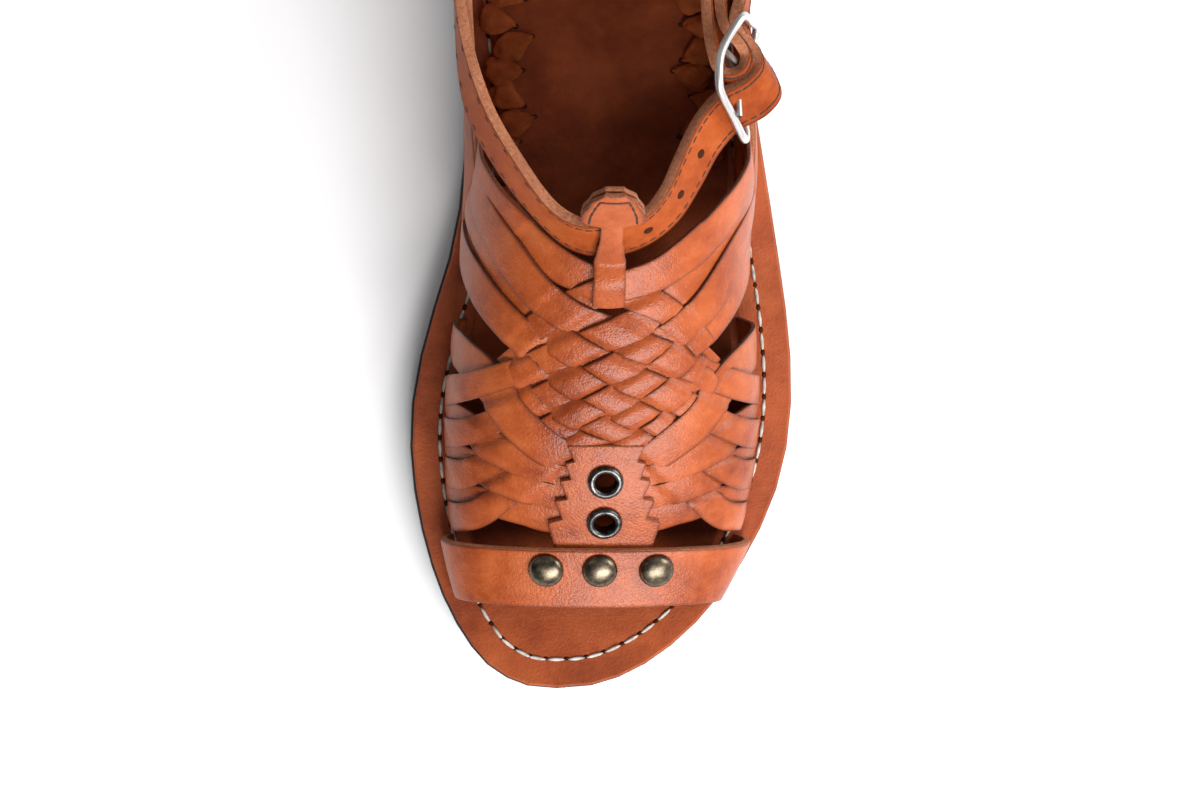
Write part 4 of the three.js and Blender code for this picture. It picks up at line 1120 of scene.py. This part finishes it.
# The rivets hold the toe band to the tongue and have domed heads of antique
# brass. The eyelets are rolled from gunmetal and clenched in the tongue. All
# are turned pieces, given by half their section.
BRASS_DARK = (0.045, 0.036, 0.028, 1)
BRASS_WORN = (0.21, 0.165, 0.11, 1)
GUNMETAL_DARK = (0.02, 0.02, 0.022, 1)
GUNMETAL_WORN = (0.13, 0.125, 0.12, 1)
STUDS = (-0.148, -0.022, 0.112)
STUD_ALONG = 0.1375
EYELET_UP = STRIP / 2 * 0.4
old_brass, tree, shader = finish("antique_brass", Metallic=1.0)
tarnish = grain(tree, surface(tree), 2.2 * MM, 6, 0.7)
worn = ramp(tree, tarnish, (0.35, BRASS_DARK), (0.7, BRASS_WORN))
feed(tree, shader, Base_Color=worn, Roughness=tarnish * 0.3 + 0.17)
gunmetal, tree, shader = finish("gunmetal", Metallic=1.0)
where = surface(tree)
worn = ramp(tree, grain(tree, where, 1.5 * MM, 5), (0.3, GUNMETAL_DARK), (0.75, GUNMETAL_WORN))
feed(tree, shader, Base_Color=worn, Roughness=grain(tree, where, 1.0 * MM, 4) * 0.25 + 0.2)


def bow(centre, high, wide, deep, first, last, parts):
    """Part of a round section: its angles are counted in parts of half a turn."""
    turns = [k * math.pi / parts for k in range(first, last)]
    return [(centre + wide * math.cos(a), high + deep * math.sin(a)) for a in turns]


def spun(name, section, at, axis, material, slot, stands_for):
    """A turned piece: half its section, in mm, spun round its axis."""
    bm = bmesh.new()
    points = [bm.verts.new((r * MM, 0, z * MM)) for r, z in section]
    lines = [bm.edges.new(pair) for pair in zip(points, points[1:])]
    if section[0][0] > 0:
        lines.append(bm.edges.new((points[-1], points[0])))
    bmesh.ops.spin(
        bm, geom=points + lines, cent=(0, 0, 0), axis=(0, 0, 1), dvec=(0, 0, 0),
        angle=2 * math.pi, steps=40, use_merge=True)
    bmesh.ops.remove_doubles(bm, verts=bm.verts, dist=1e-6)
    bmesh.ops.recalc_face_normals(bm, faces=bm.faces)
    facing = Matrix.Translation(at) @ axis.to_track_quat("Z", "Y").to_matrix().to_4x4()
    bmesh.ops.transform(bm, matrix=facing, verts=bm.verts)
    return kept(bm, name, material, slot=slot, stands_for=stands_for)


dome = [(0.0, 0.0), (4.3, 0.0), (4.55, 0.35), *bow(0, 0.6, 4.45, 2.1, 1, 10, 20), (0.0, 2.7)]
for i, across in enumerate(STUDS):
    s = STUD_ALONG * LENGTH
    u = round_at(s, across * WIDTH)
    seat = placed(lifted(s, u, over_tongue(u, 1)))
    spun(
        f"rivet_{i + 1}", dome, seat, skin_normal(s, u), old_brass, "old_brass",
        (f"stud_{i + 1}",))
rolled = [
    (2.7, -1.8), (3.0, -1.8), (3.0, 0.6), (4.4, 0.7), *bow(3.55, 1.0, 0.98, 1.0, 0, 11, 12),
    (2.7, 0.9)]
for i, (at, axis) in enumerate(eyelet_seats):
    spun(
        f"ring_{i + 1}", rolled, at + axis * EYELET_UP * MM, axis, gunmetal, "gunmetal",
        (f"eyelet_{i + 1}",))

# The studio: a white sweep, a broad soft light ahead of the toes and weaker
# fill from the sides. The camera looks down on the front of the shoe and
# stands a little to its inner side.
CAMERA_UP = 0.884
CAMERA_ASIDE = 0.0517
CAMERA_ALONG = 75.6
AROUND = 0.32
MORE_FROM_RIGHT = 0.28
bm = bmesh.new()
bmesh.ops.create_grid(bm, x_segments=1, y_segments=1, size=4)
white_sweep, tree, shader = finish("white_sweep", Base_Color=(0.93, 0.93, 0.94, 1), Roughness=0.9)
kept(bm, "floor", white_sweep)

scene = bpy.context.scene
scene.view_settings.view_transform = "Standard"
scene.world = bpy.data.worlds.new("studio")
scene.world.use_nodes = True
sky = scene.world.node_tree
background = sky.nodes["Background"]
background.inputs["Color"].default_value = (1, 1, 1, 1)
to_right = node(sky, "ShaderNodeSeparateXYZ", None, [node(sky, "ShaderNodeTexCoord")])
feed(sky, background, Strength=to_right * MORE_FROM_RIGHT + AROUND)


def lamp(name, at, toward, size, power):
    """A broad soft light."""
    light = bpy.data.lights.new(name, "AREA")
    light.shape = "RECTANGLE"
    light.size, light.size_y = size
    light.energy = power
    body = bpy.data.objects.new(name, light)
    body.location = at
    body.rotation_euler = (Vector(toward) - Vector(at)).to_track_quat("-Z", "Y").to_euler()
    scene.collection.objects.link(body)


lamp("toe light", (0.25, -0.75, 0.75), (0, -0.02, 0.03), (0.8, 0.4), 17)
lamp("left fill", (-0.9, 0.25, 0.8), (0, 0, 0.03), (0.5, 0.5), 0.6)
lamp("right fill", (0.9, 0.2, 0.6), (0, 0, 0.03), (0.5, 0.5), 8)

camera_data = bpy.data.cameras.new("camera")
camera_data.lens = 100
camera_data.sensor_width = 36
camera_data.clip_end = 20
camera = bpy.data.objects.new("camera", camera_data)
over_point = placed((0, CAMERA_ALONG, 0))
camera.location = (over_point.x - CAMERA_ASIDE, over_point.y, CAMERA_UP)
camera.rotation_euler = (0, -math.atan2(CAMERA_ASIDE, CAMERA_UP), 0)
scene.collection.objects.link(camera)
scene.camera = camera
